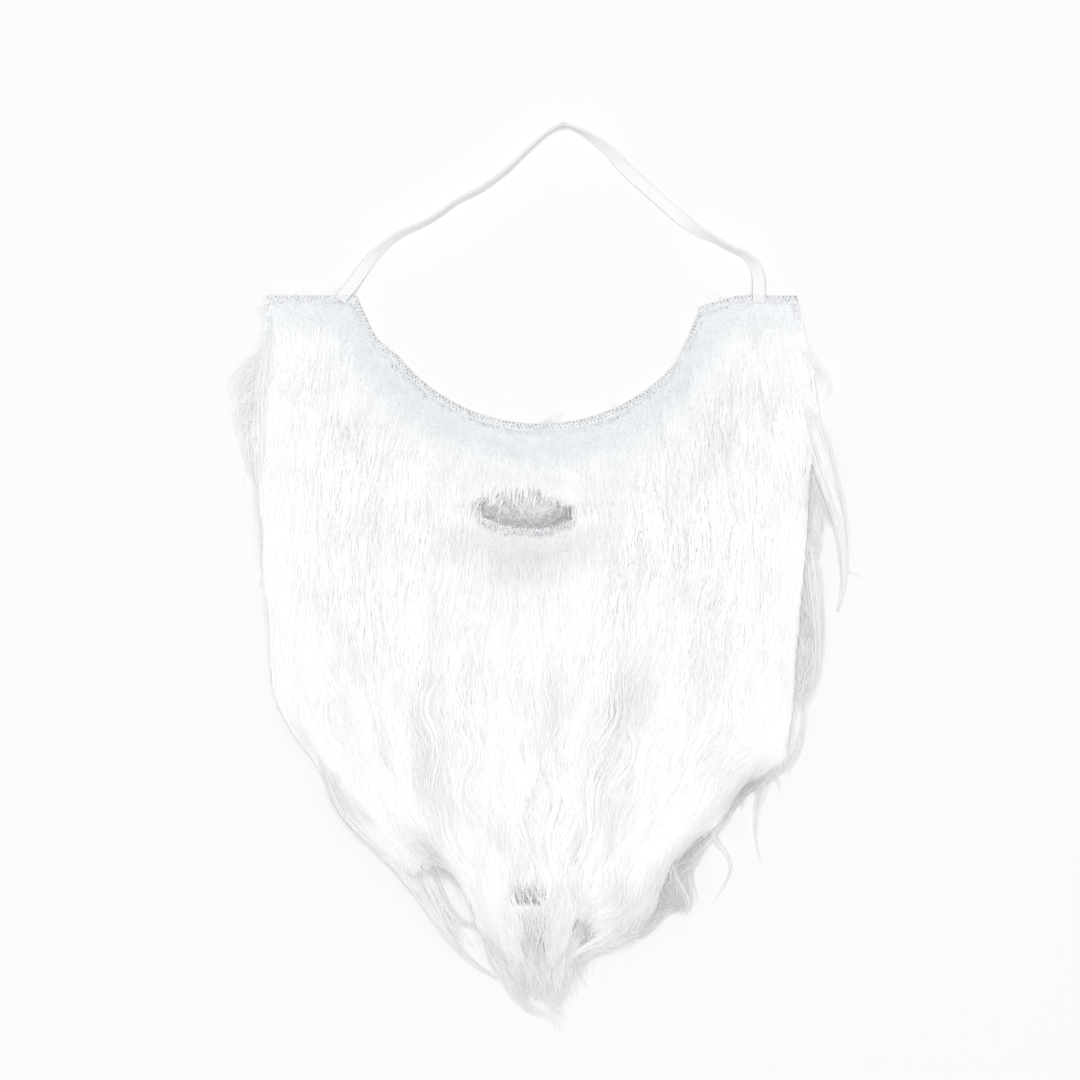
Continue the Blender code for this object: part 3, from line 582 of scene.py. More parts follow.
def combLocks(roots, kind, dice):
    # All the fibres of these locks: paths, widths and own brightness
    guide, heading = combGuides(roots, kind, dice)
    count, each, steps = len(roots), kind["strandsEach"], kind["pointsEach"]
    y = roots[:, 1]
    length = np.interp(y, lockHeights, lockLengths)[:, None] * dice.uniform(0.68, 1.10, (count, each))
    gather = np.interp(y, lockHeights, kind["gathers"])[:, None, None]
    gather = gather * dice.uniform(0.7, 1.12, (count, each, 1))
    level = (1 + dice.normal(0, 0.035, count))[:, None, None]
    start = dice.uniform(0, 12, (count, each))
    offset = np.clip(dice.normal(0, 0.5, (count, each)), -1.2, 1.2)
    width = dice.uniform(*kind["widths"], count)[:, None]
    lift = dice.normal(0, 0.2, (count, each, 1))
    margin = dice.normal(0.6, 1.3, (count, each, 1))
    frizzLength = dice.uniform(24, 60, (count, each, 1))
    frizzPhase = dice.uniform(0, 2 * np.pi, (count, each, 1))
    frizz = dice.gamma(1.5, 0.32, (count, each, 1)) * np.interp(y, [-60, 60], [0.8, 1.9])[:, None, None]
    early = np.repeat(dice.normal(1.2, 2.4, count), each) + dice.normal(0, 0.8, count * each)
    outward = dice.uniform(0, 3.0, (count, 1, 1))
    splay = dice.normal(0, 1, (count, each, 1)) * np.interp(y, [-40, 60], [0.015, 0.10])[:, None, None]
    along = np.linspace(0, 1, steps) ** 0.9
    low, high = kind["climbs"]

    def place(length):
        reach = start[..., None] + length[..., None] * along
        spot, sideways = alongGuide(guide, heading, reach)
        close = 1 - np.clip(gather, 0, 0.97) * along ** 0.8
        shift = (offset * width)[..., None] * close
        shift = shift + frizz * along * np.sin(2 * np.pi * reach / frizzLength + frizzPhase) + splay * reach
        spot = spot + sideways * shift[..., None]
        for attempt in range(2):
            x, y = spot[..., 0], spot[..., 1]
            away = margin - fieldAt("brightRoom", x, y) - outward * fieldAt("lowRight", x, y)
            push = np.clip(away, 0, 3)
            inward = np.stack([fieldAt("inwardX", x, y), fieldAt("inwardY", x, y)], axis=3)
            spot = spot + push[..., None] * inward
        pile = fieldAt("pile", spot[..., 0], spot[..., 1]) * level
        climb = low * np.minimum(1, reach / 9) + (high - low) * (reach / (length[..., None] + 12))
        share = np.clip(pile / beard["peak"], 0, 1)
        dome = kind["dome"] * share * (offset[..., None] ** 2 - 0.25)
        z = beard["clothFloor"] + (pile - beard["clothFloor"]) * climb - dome + lift * along
        return spot[..., 0], spot[..., 1], np.maximum(z, 0.5)

    flat = (count * each, steps)
    x, y, z = place(length)
    kept = cutShort(x.reshape(flat), y.reshape(flat), z.reshape(flat), early, dice).reshape(count, each)
    x, y, z = place(length * kept)
    keep = ((length * kept > 5) & (fieldAt("brightRoom", x[..., 0], y[..., 0]) > -0.3)).ravel()
    for row in pockets:
        keep &= (inPocket(row, x[..., 0], y[..., 0]) > 1).ravel()
    paths = np.stack([x, y, z], axis=3).reshape(count * each, steps, 3)[keep]
    # Own tone: random per lock and per fibre, plus painted shade for the lower locks and for each lock's
    # sides
    own = kind["tone"] + dice.normal(0, 0.7, (count, 1)) + dice.normal(0, 0.45, (count, each))
    own = (own - kind["sideShade"] * offset ** 2).ravel()[keep]
    widths = kind["fibreWidth"] * dice.uniform(0.7, 1.4, count * each)[keep]
    rolls = (-kind["roundness"] * offset + dice.normal(0, 0.06, (count, each))).ravel()[keep]
    return paths, widths, own, rolls, along


def growPieces(names, paths, widths, own, rolls, along, finish):
    # Fibres sorted from the tabs down and shared out among the pieces
    tints = shadeOf(paths[..., 0], paths[..., 1], paths[..., 2], along, own)
    order = np.argsort(-paths[:, 0, 1], kind="stable")
    for name, part in zip(names, np.array_split(order, len(names))):
        piece = fibreMesh(name, paths[part], widths[part], rolls[part], tints[part], finish)
        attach(piece, "root")
        print(name, len(part), "fibres")


def combedPile(dice, finish):
    roots = np.vstack([
        rowsOfRoots(underLocks, dice),
        rootsBeside("hemRoom", 5.5, 18, 420, dice),
        rootsBeside("mouthRoom", 4.3, 13, 170, dice, below=74),
        rootsBeside("edgeRoom", 1.5, 13, 230, dice, below=10),
    ])
    locks = combLocks(onCloth(roots), underLocks, dice)
    growPieces(["underBrow", "underCheek", "underChin"], *locks, finish)
    roots = rowsOfRoots(topLocks, dice)
    roots = roots[(fieldAt("hemRoom", roots[:, 0], roots[:, 1]) > 22) & (roots[:, 1] > -128)]
    growPieces(["topCheek", "topChin"], *combLocks(onCloth(roots), topLocks, dice), finish)


def strayPile(dice, finish):
    pathParts, widthParts, ownParts = [], [], []
    along = np.linspace(0, 1, strayFibres["pointsEach"])
    for row in strayLocks:
        fine = evenSteps(smoothThrough(row["through"], 12), strayFibres["stations"])
        count = row["strands"]
        start = dice.uniform(0, strayFibres["longestStart"], (count, 1))
        reach = start + along * (0.35 + 0.6 * dice.uniform(0, 1, (count, 1)) ** 1.4)
        at = np.clip(reach, 0, 1) * (strayFibres["stations"] - 1.01)
        i = at.astype(int)
        f = (at - i)[..., None]
        spot = fine[i] * (1 - f) + fine[i + 1] * f
        run = np.gradient(fine, axis=0)
        run /= np.linalg.norm(run, axis=1, keepdims=True)
        sideways = np.stack([-run[:, 1], run[:, 0]], axis=1)[i]
        offset = np.clip(dice.normal(0, 0.42, (count, 1)), -1, 1) * row["width"]
        shift = offset * (1 - row["gather"] * np.clip(reach, 0, 1) ** 0.9)
        shift = shift * np.minimum(1, 0.35 + 3 * reach)
        loose = dice.gamma(1.3, 0.4, (count, 1)) * (1.6 - row["gather"]) * row["curl"]
        waves = dice.uniform(1, 3, (count, 1))
        shift = shift + loose * along * np.sin(2 * np.pi * reach * waves + dice.uniform(0, 6.3, (count, 1)))
        spot = spot + sideways * shift[..., None]
        ring = row["ring"] * np.clip(reach - 0.2, 0, 1) * dice.uniform(0.3, 1.2, (count, 1))
        turn = 2 * np.pi * reach * dice.uniform(1.4, 2.6, (count, 1)) + dice.uniform(0, 6.3, (count, 1))
        spot = spot + np.stack([ring * np.cos(turn), ring * np.sin(turn)], axis=2)
        z = row["height"] * (1 - 0.75 * reach) * dice.uniform(0.25, 1.0, (count, 1)) + 0.6
        pathParts.append(np.concatenate([spot, np.maximum(z, 0.5)[..., None]], axis=2))
        widthParts.append(row["fibreWidth"] * dice.uniform(0.6, 1.2, count))
        # Own tone is random, less the lock's painted shade
        ownParts.append(dice.normal(-0.2, 0.8, count) - row["shade"] / 0.016)
    paths = np.vstack(pathParts)
    own = np.concatenate(ownParts)
    rolls = dice.uniform(-0.15, 0.15, len(paths))
    growPieces(["strayLocks"], paths, np.concatenate(widthParts), own, rolls, along, finish)


# Low hair that comes from under the cloth's lower edge and starts the tail, in mm
tailHair = {
    "strands": 1500,
    "pointsEach": 9,
    "rootsX": (-40.0, 34.0),
    "rootsY": (-139.0, -126.0),
    "lengths": (28.0, 74.0),
    "clumpWidth": 6,
    "tip": (8, -245),       # the place to which they all lean a little
    "fibreWidth": 0.34,
}


def tailPile(dice, finish):
    count = tailHair["strands"]
    steps = tailHair["pointsEach"]
    along = np.linspace(0, 1, steps)
    rootX = dice.uniform(*tailHair["rootsX"], count)
    here = np.stack([rootX, dice.uniform(*tailHair["rootsY"], count)], axis=1)
    step = dice.uniform(*tailHair["lengths"], count)[:, None] / (steps - 1)
    clump = np.floor((here[:, 0] - tailHair["rootsX"][0]) / tailHair["clumpWidth"])
    phase = 2.1 * clump + dice.normal(0, 0.35, count)
    # Own tone is darker for this low tail, painted shade, and changes from clump to clump
    own = dice.normal(-3.0, 0.8, count) + 2.0 * np.sin(5.7 * clump)
    spots = []
    for i in range(steps):
        spots.append(here)
        turn = fieldAt("lean", here[:, 0], here[:, 1]) + np.radians(dice.normal(0, 4, count))
        turn += np.radians(22) * np.sin(2 * np.pi * i * step[:, 0] / 30 + phase)
        toTip = np.arctan2(tailHair["tip"][0] - here[:, 0], here[:, 1] - tailHair["tip"][1])
        turn = turn * 0.75 + toTip * 0.25
        here = here + step * np.stack([np.sin(turn), -np.cos(turn)], axis=1)
    spots = np.stack(spots, axis=1)
    z = 1.6 + 2.2 * np.sin(along * 2.4) * dice.uniform(0.2, 1, (count, 1))
    inside = fieldAt("edgeRoom", spots[..., 0], spots[..., 1]) > 0
    inside = inside[:, 1:].mean(axis=1) > 0.95
    paths = np.concatenate([spots, z[..., None]], axis=2)[inside]
    own = own[inside]
    widths = tailHair["fibreWidth"] * dice.uniform(0.7, 1.3, len(paths))
    growPieces(["tailHair"], paths, widths, own, dice.uniform(-0.2, 0.2, len(paths)), along, finish)


# Low shaded fringe between the bright hair's edge and the outline, in mm
fringe = {
    "strands": 4600,
    "pointsEach": 7,
    "lengths": (9.0, 24.0),
    "levels": (0.8, 3.4),
    "fibreWidth": 0.32,
}


def walk(x, y, turn, step):
    # Places on fibres that go down from there; turn is their way at each step
    px = x[:, None] + np.cumsum(np.sin(turn) * step, axis=1)
    py = y[:, None] - np.cumsum(np.cos(turn) * step, axis=1)
    return px, py


def shadedFringe(dice, finish):
    x = dice.uniform(24, 160, 60000)
    y = dice.uniform(-182, 112, 60000)
    beyond = (fieldAt("edgeRoom", x, y) > 0.5) & (fieldAt("underRoom", x, y) < 4.5)
    picked = np.flatnonzero(beyond)[:fringe["strands"]]
    x, y = x[picked], y[picked]
    count, steps = len(x), fringe["pointsEach"]
    along = np.linspace(0, 1, steps)
    beside = np.arctan2(fieldAt("besideX", x, y), -fieldAt("besideY", x, y))
    turn = beside + np.radians(dice.normal(0, 8, count))
    sway = np.radians(dice.normal(0, 9, (count, 1)))
    turn = turn[:, None] + sway * np.sin(along * 5 + dice.uniform(0, 6, (count, 1)))
    step = dice.uniform(*fringe["lengths"], (count, 1)) / (steps - 1)
    px, py = walk(x, y, turn, step)
    px = px - np.sin(turn) * step * 3
    py = py + np.cos(turn) * step * 3
    inside = (fieldAt("edgeRoom", px, py) > -dice.gamma(1.0, 0.25, (count, 1))).all(axis=1)
    z = dice.uniform(*fringe["levels"], (count, 1)) + 0.4 * np.sin(along * 3)
    paths = np.stack([px, py, z], axis=2)[inside]
    # Painted shade: this low fringe is much darker than the hair above it
    own = dice.normal(-6.5, 3.0, len(paths))
    widths = fringe["fibreWidth"] * dice.uniform(0.7, 1.3, len(paths))
    growPieces(["shadedFringe"], paths, widths, own, dice.uniform(-0.3, 0.3, len(paths)), along, finish)


# Crossed grey fibres that show in the mouth and in the two pockets, in mm; their grey is painted shade.
# Cross is how far they turn, in degrees; tones are those at the upper and lower side, and the mouth's
# corners take extra painted shade.
shadedHair = tableOf("x y halfWidth halfHeight power strands levels lengths cross tones sideTone spread", [
    (-8.5, 74, 31, 11.5, 2, 2200, (0.4, 1.5), (3, 17), 52, (1.0, 0.53), -0.32, (0.70, 1.25)),
    (-7.2, -138.6, 11.6, 7.4, 4, 800, (5.4, 8.0), (5, 12), 52, (0.64, 0.80), 0.0, (0.94, 1.08)),
    (-7.2, -138.6, 11.0, 6.0, 4, 40, (8.0, 8.6), (6, 12), 50, (0.93, 0.93), 0.0, (0.95, 1.0)),
    (25.6, -160.8, 8.4, 9.2, 2, 420, (2.8, 5.0), (7, 13), 18, (0.76, 0.70), 0.0, (0.85, 1.15)),
])
greyFibres = {"pointsEach": 7, "fibreWidth": 0.42}


def shadedPile(dice, finish):
    parts, tintParts, steps = [], [], greyFibres["pointsEach"]
    along = np.linspace(0, 1, steps)
    for row in shadedHair:
        count = row["strands"]
        x = row["x"] + row["halfWidth"] * dice.uniform(-1, 1, count)
        y = row["y"] + row["halfHeight"] * dice.uniform(-1, 1.1, count)
        turn = np.radians(dice.normal(0, row["cross"], (count, 1)))
        turn = turn + np.radians(dice.normal(0, 0.8 * row["cross"], (count, 1))) * along
        step = dice.uniform(*row["lengths"], (count, 1)) / (steps - 1)
        px, py = walk(x, y, turn, step)
        py = py + 3
        z = dice.uniform(*row["levels"], (count, 1)) + 0 * along
        if row["x"] == mouth["x"]:
            inside = (fieldAt("mouthRoom", px, py) < 0.9).all(axis=1)
        else:
            inside = (inPocket(row, px, py, 1.5) < 1).all(axis=1)
        # Painted shade: grey by height in the slit or pocket, darker towards the mouth's corners
        up = np.clip(0.5 + 0.5 * (py - row["y"]) / row["halfHeight"], 0, 1)
        aside = np.clip(np.abs(px - row["x"]) / row["halfWidth"], 0, 1) ** 2
        grey = row["tones"][1] + (row["tones"][0] - row["tones"][1]) * up + row["sideTone"] * aside
        grey = grey * dice.uniform(*row["spread"], (count, 1))
        parts.append(np.stack([px, py, z], axis=2)[inside])
        tintParts.append(grey[inside])
    paths = np.vstack(parts)
    tints = np.clip(np.vstack(tintParts)[..., None] * [1.0, 1.0, 0.985], 0.05, 0.95)
    rolls = dice.uniform(-0.5, 0.5, len(paths))
    widths = greyFibres["fibreWidth"] * dice.uniform(0.7, 1.5, len(paths))
    piece = fibreMesh("shadedHair", paths, widths, rolls, tints, finish)
    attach(piece, "root")
    print("shaded hair", len(paths), "fibres")


# Short loose hair along the hem and round the mouth, in mm
fuzz = {
    "count": 19500,
    "triesEach": 14,
    "pointsEach": 5,
    "lengths": (7.0, 20.0),
    "onTabs": 0.6,          # share of that length on the ear tabs' tops
    "bandWidth": 96.0,
    "mouthStart": 1.8,
    "mouthBand": 10,
    "lowest": 3.5,
    "fibreWidth": 0.30,
}


def shortFuzz(dice, finish):
    tries = fuzz["count"] * fuzz["triesEach"]
    x = dice.uniform(-156, 156, tries)
    y = dice.uniform(-140, 192, tries)
    hemRoom = fieldAt("hemRoom", x, y)
    mouthRoom = fieldAt("mouthRoom", x, y)
    inside = fieldAt("edgeRoom", x, y) > 1.5
    onTab = (y > 180) & ((x < -112) | (x > 96) & (x < 112))
    start = np.where(onTab, 0.8, 1.7 + dice.normal(0, 0.5, len(x)))
    end = start + fuzz["bandWidth"] * dice.uniform(0, 1, len(x)) ** 1.7
    nearHem = inside & (hemRoom > start) & (hemRoom < end)
    offMouth = mouthRoom > fuzz["mouthStart"]
    nearMouth = mouthRoom < fuzz["mouthStart"] + fuzz["mouthBand"] * dice.uniform(0, 1, len(x)) ** 1.5
    wanted = np.flatnonzero((nearHem | inside & nearMouth) & offMouth)[:fuzz["count"]]
    x, y = x[wanted], y[wanted]
    count = len(x)
    along = np.linspace(0, 1, fuzz["pointsEach"])
    lean = fieldAt("lean", x, y) + np.radians(dice.normal(0, 34, count))
    awry = onTab[wanted] | (hemRoom[wanted] > 4.5) & (hemRoom[wanted] < 9)
    wild = np.radians(dice.uniform(-150, 150, count))
    lean += np.where(awry, wild * (dice.uniform(0, 1, count) < 0.35), 0)
    bend = np.radians(dice.normal(0, 30, count))
    length = dice.uniform(*fuzz["lengths"], count) * np.where(onTab[wanted], fuzz["onTabs"], 1)
    turn = lean[:, None] + bend[:, None] * along
    step = length[:, None] / (fuzz["pointsEach"] - 1)
    px, py = walk(x, y, turn, step)
    px = px - np.sin(turn[:, :1]) * step
    py = py + np.cos(turn[:, :1]) * step
    pile = fieldAt("pile", px, py)
    low = np.maximum(fuzz["lowest"], 0.86 * pile)
    z = low + (1.03 * pile + 0.6 - low) * np.sin(along * 1.9) * dice.uniform(0.4, 1.05, (count, 1))
    z = np.maximum(z, 3.4)
    paths = np.stack([px, py, z], axis=2)
    kept = (fieldAt("mouthRoom", px, py) > -3).all(axis=1)
    within = (fieldAt("edgeRoom", px, py) > -0.6).all(axis=1)
    kept &= within | onTab[wanted] | (dice.uniform(0, 1, count) < 0.012)
    paths = paths[kept]
    px, py, z, count = px[kept], py[kept], z[kept], int(kept.sum())
    own = dice.normal(-0.2, 0.8, count)
    tints = shadeOf(px, py, z, along, own)
    widths = fuzz["fibreWidth"] * dice.uniform(0.7, 1.3, count)
    piece = fibreMesh("hemFuzz", paths, widths, dice.uniform(-0.35, 0.35, count), tints, finish)
    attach(piece, "root")
    print("hem fuzz", count, "fibres")


# Dense short underpile that closes the pile between the locks, in mm
underpile = {
    "step": 2.0,
    "fill": 0.905,      # share of the pile's height that it fills
    "inset": 3.2,
    "hemGap": 5.1,
    "mouthGap": 4.4,
    "lowest": -172,
    "slope": 22,        # how far above its lowest side it has its full height
}


def denseUnderpile(dice, finish):
    step = underpile["step"]
    xs = np.arange(-162, 163, step)
    ys = np.arange(underpile["lowest"], 192, step)
    gx, gy = np.meshgrid(xs, ys)
    rough = readField(softNoise(dice, 7.0), gx * 1.6, gy * 0.45)
    inward = fieldAt("underRoom", gx, gy) > underpile["inset"]
    solid = inward & (gy > -137)
    solid &= fieldAt("hemRoom", gx, gy) > underpile["hemGap"]
    solid &= fieldAt("mouthRoom", gx, gy) > underpile["mouthGap"]
    solid |= inward & (np.abs(gx - 4) < 30) & (gy < -130)
    for room, gap in (("hemRoom", "hemGap"), ("mouthRoom", "mouthGap"), ("underRoom", "inset")):
        slopeY, slopeX = np.gradient(fields[room], beard["gridStep"])
        over = fieldAt(room, gx, gy) - underpile[gap]
        over = np.where(solid & (over < step), over, 0)
        moveX, moveY = over * readField(slopeX, gx, gy), over * readField(slopeY, gx, gy)
        gx, gy = gx - moveX, gy - moveY
    pile = fieldAt("pile", gx, gy)
    slope = np.clip((gy - underpile["lowest"]) / underpile["slope"], 0, 1) ** 0.7
    z = beard["clothFloor"] + (pile - beard["clothFloor"]) * (underpile["fill"] + 0.04 * rough) * slope
    for row in pockets:
        z = np.where(inPocket(row, gx, gy, 1.0) < 1, np.minimum(z, row["level"] - 3), z)
    bm = bmesh.new()
    verts = {}
    for j, i in zip(*np.nonzero(solid)):
        verts[j, i] = bm.verts.new(Vector((gx[j, i], gy[j, i], z[j, i])) * mm)
    for j, i in verts:
        ring = [(j, i), (j, i + 1), (j + 1, i + 1), (j + 1, i)]
        if all(place in verts for place in ring):
            bm.faces.new([verts[place] for place in ring])
    bmesh.ops.delete(bm, geom=[vert for vert in bm.verts if not vert.link_faces], context="VERTS")
    rim = bmesh.ops.extrude_edge_only(bm, edges=[edge for edge in bm.edges if edge.is_boundary])
    for vert in [item for item in rim["geom"] if isinstance(item, bmesh.types.BMVert)]:
        vert.co.z = (beard["clothFloor"] - 0.2) * mm
    bmesh.ops.recalc_face_normals(bm, faces=bm.faces)
    mesh = bpy.data.meshes.new("underpile")
    bm.to_mesh(mesh)
    bm.free()
    mesh.shade_smooth()
    spots = np.empty(3 * len(mesh.vertices), np.float32)
    mesh.vertices.foreach_get("co", spots)
    spots = spots.reshape(-1, 3) / mm
    x, y = spots[:, 0], spots[:, 1]
    # Painted shade: cooler and darker near the hem, round the mouth, in the hollows and in the shaded zones
    coolShade = np.clip(1 - fieldAt("hemRoom", x, y) / 34, 0, 1)
    coolShade = np.maximum(coolShade, np.clip(1 - fieldAt("mouthRoom", x, y) / 20, 0, 1))
    coolShade += 0.5 * fieldAt("shade", x, y)
    colours = np.ones((len(spots), 4), np.float32)
    gloom = fieldAt("gloom", x, y)
    colours[:, :3] = 0.935 - gloom[:, None] - coolShade[:, None] * [0.12, 0.11, 0.09]
    # Painted shade on the underpile inside the pockets
    for row in pockets:
        sunken = inPocket(row, x, y, 0.5) < 1
        colours[sunken, :3] *= row["tone"]
    mesh.color_attributes.new("tint", "FLOAT_COLOR", "POINT").data.foreach_set("color", colours.ravel())
    mesh.materials.append(finish)
    piece = bpy.data.objects.new("underpile", mesh)
    bpy.context.scene.collection.objects.link(piece)
    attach(piece, "root")
    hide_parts("fur_pile")
    print("underpile", len(mesh.polygons), "faces")


def newFinish(name, colour, roughness):
    finish = bpy.data.materials.new(name)
    finish.use_nodes = True
    shader = finish.node_tree.nodes["Principled BSDF"]
    shader.inputs["Base Color"].default_value = (*colour, 1)
    shader.inputs["Roughness"].default_value = roughness
    return finish, shader


def addNode(nodes, kind, operation=None, values=None):
    # One shader node, with values on its sockets by name or number
    node = nodes.new("ShaderNode" + kind)
    if operation:
        node.operation = operation
    for socket, value in (values or {}).items():
        node.inputs[socket].default_value = value
    return node


def tintedFinish(name, roughness, specular, sheen, mottleScale):
    # A finish that takes its colour from the piece's own tint, slightly mottled
    finish, shader = newFinish(name, (0.9, 0.9, 0.9), roughness)
    nodes, links = finish.node_tree.nodes, finish.node_tree.links
    shader.inputs["Specular IOR Level"].default_value = specular
    shader.inputs["Sheen Weight"].default_value = sheen
    tint = addNode(nodes, "Attribute")
    tint.attribute_name = "tint"
    place = addNode(nodes, "TexCoord")
    mottle = addNode(nodes, "TexNoise", values={"Scale": mottleScale, "Detail": 3})
    spread = addNode(nodes, "MapRange", values={"To Min": 0.95, "To Max": 1.03})
    mix = addNode(nodes, "VectorMath", "SCALE")
    links.new(place.outputs["Object"], mottle.inputs["Vector"])
    links.new(mottle.outputs["Fac"], spread.inputs["Value"])
    links.new(tint.outputs["Color"], mix.inputs[0])
    links.new(spread.outputs["Result"], mix.inputs["Scale"])
    links.new(mix.outputs["Vector"], shader.inputs["Base Color"])
    return finish


def knitFinish():
    # Rows of small knitted loops in relief, with painted shade darkening the low parts between them
    finish, shader = newFinish("knitBacking", (0.86, 0.87, 0.88), 0.85)
    nodes, links = finish.node_tree.nodes, finish.node_tree.links
    shader.inputs["Sheen Weight"].default_value = 0.3
    place = addNode(nodes, "TexCoord")
    split = addNode(nodes, "SeparateXYZ")
    links.new(place.outputs["Object"], split.inputs["Vector"])
    waves = []
    for axis, pitch in (("X", 0.0016), ("Y", 0.0012)):
        scaled = addNode(nodes, "Math", "MULTIPLY", {1: 2 * math.pi / pitch})
        wave = addNode(nodes, "Math", "SINE")
        links.new(split.outputs[axis], scaled.inputs[0])
        links.new(scaled.outputs["Value"], wave.inputs[0])
        waves.append(wave)
    loops = addNode(nodes, "Math", "MULTIPLY_ADD", {2: 0.5})
    half = addNode(nodes, "Math", "MULTIPLY", {1: 0.5})
    links.new(waves[0].outputs["Value"], half.inputs[0])
    links.new(half.outputs["Value"], loops.inputs[0])
    links.new(waves[1].outputs["Value"], loops.inputs[1])
    tone = addNode(nodes, "ValToRGB")
    tone.color_ramp.elements[0].color = (0.70, 0.71, 0.73, 1)
    tone.color_ramp.elements[1].color = (0.90, 0.90, 0.91, 1)
    bump = addNode(nodes, "Bump", values={"Strength": 0.7, "Distance": 0.0004})
    links.new(loops.outputs["Value"], tone.inputs["Fac"])
    links.new(tone.outputs["Color"], shader.inputs["Base Color"])
    links.new(loops.outputs["Value"], bump.inputs["Height"])
    links.new(bump.outputs["Normal"], shader.inputs["Normal"])
    return finish


def underpileFinish():
    finish, shader = newFinish("underpile", (0.88, 0.885, 0.9), 0.8)
    nodes, links = finish.node_tree.nodes, finish.node_tree.links
    place = addNode(nodes, "TexCoord")
    stretch = addNode(nodes, "Mapping", values={"Scale": (900, 90, 300)})
    streaks = addNode(nodes, "TexNoise", values={"Scale": 1, "Detail": 3})
    ramp = addNode(nodes, "MapRange", values={"To Min": 0.88, "To Max": 1.06})
    tone = addNode(nodes, "VectorMath", "SCALE")
    tint = addNode(nodes, "Attribute")
    tint.attribute_name = "tint"
    bump = addNode(nodes, "Bump", values={"Strength": 0.8, "Distance": 0.001})
    links.new(place.outputs["Object"], stretch.inputs["Vector"])
    links.new(stretch.outputs["Vector"], streaks.inputs["Vector"])
    links.new(streaks.outputs["Fac"], ramp.inputs["Value"])
    links.new(tint.outputs["Color"], tone.inputs[0])
    links.new(ramp.outputs["Result"], tone.inputs["Scale"])
    links.new(tone.outputs["Vector"], shader.inputs["Base Color"])
    links.new(streaks.outputs["Fac"], bump.inputs["Height"])
    links.new(bump.outputs["Normal"], shader.inputs["Normal"])
    return finish


# Top edge of the cloth and the slit, stitched all along, in mm
hem = {
    "width": 5.0,
    "mouthWidth": 3.6,
    "bottom": 1.75,
    "top": 3.1,
    "cell": 0.5,
    "stitchPitch": 2.1,
    "backPitch": 2.6,
    "threadRadius": 0.2,
    "threadInset": 0.25,    # from the strip's outer side; twice as much from its inner side
    "rounding": 0.9,
    "lanes": (0.9, 2.3),    # where the rows of needle holes run
    "holeShift": 0.22,
    "holeSizes": (0.36, 0.66),
    "holeDepth": 0.75,
    # how much painted shade darkens the needle holes
    "holeShade": 0.74,
    "tone": 0.83,
}


def topEdgeLine():
    turns = np.linspace(math.asin(-80 / 102), math.asin(79 / 102), 49)
    neck = np.stack([102 * np.sin(turns), 223 - 102 * np.cos(turns)], axis=1)
    left = np.array([(-153, 193), (-140, 193), (-128, 193), (-116, 193), (-103, 193), (-100, 186.5),
                     (-97, 180), (-94.6, 174.5), (-91.5, 169), (-86, 164.2)], float)
    right = np.array([(90, 187), (111, 193), (122, 193), (133, 193), (144, 193)], float)
    return np.vstack([left, neck, right])


def offsetLine(line, distance, closed=False):
    # The line moved to the right of its own direction
    if closed:
        way = np.roll(line, -1, axis=0) - np.roll(line, 1, axis=0)
    else:
        way = np.gradient(line, axis=0)
    way /= np.linalg.norm(way, axis=1, keepdims=True)
    return line + distance * np.stack([way[:, 1], -way[:, 0]], axis=1)


def tubes(name, lines, radius, finish, tint, sides=5):
    # Round threads through polylines that all have the same number of points
    lines = np.asarray(lines, float)
    count, steps = lines.shape[:2]
    run = np.gradient(lines, axis=1)
    run /= np.linalg.norm(run, axis=2, keepdims=True) + 1e-9
    up = np.where(np.abs(run[..., 2:]) > 0.9, [1.0, 0, 0], [0, 0, 1.0])
    side = np.cross(run, up)
    side /= np.linalg.norm(side, axis=2, keepdims=True) + 1e-9
    rise = np.cross(side, run)
    turn = 2 * np.pi * np.arange(sides) / sides
    around = side[:, :, None] * np.cos(turn)[:, None] + rise[:, :, None] * np.sin(turn)[:, None]
    points = (lines[:, :, None] + radius * around).reshape(-1, 3)
    first = (np.arange(count)[:, None, None] * steps + np.arange(steps - 1)[:, None]) * sides
    near = np.arange(sides)
    far = (near + 1) % sides
    corners = np.stack([first + near, first + far, first + far + sides, first + near + sides], axis=3)
    start = np.arange(count)[:, None] * steps * sides
    caps = np.concatenate([start + near[::-1], start + (steps - 1) * sides + near], axis=1)
    sizes = np.concatenate([np.full(count * (steps - 1) * sides, 4), np.full(count * 2, sides)])
    colours = np.broadcast_to(np.array(tint, float), points.shape)
    return makeMesh(name, points, sizes, np.concatenate([corners.ravel(), caps.ravel()]), finish, colours)


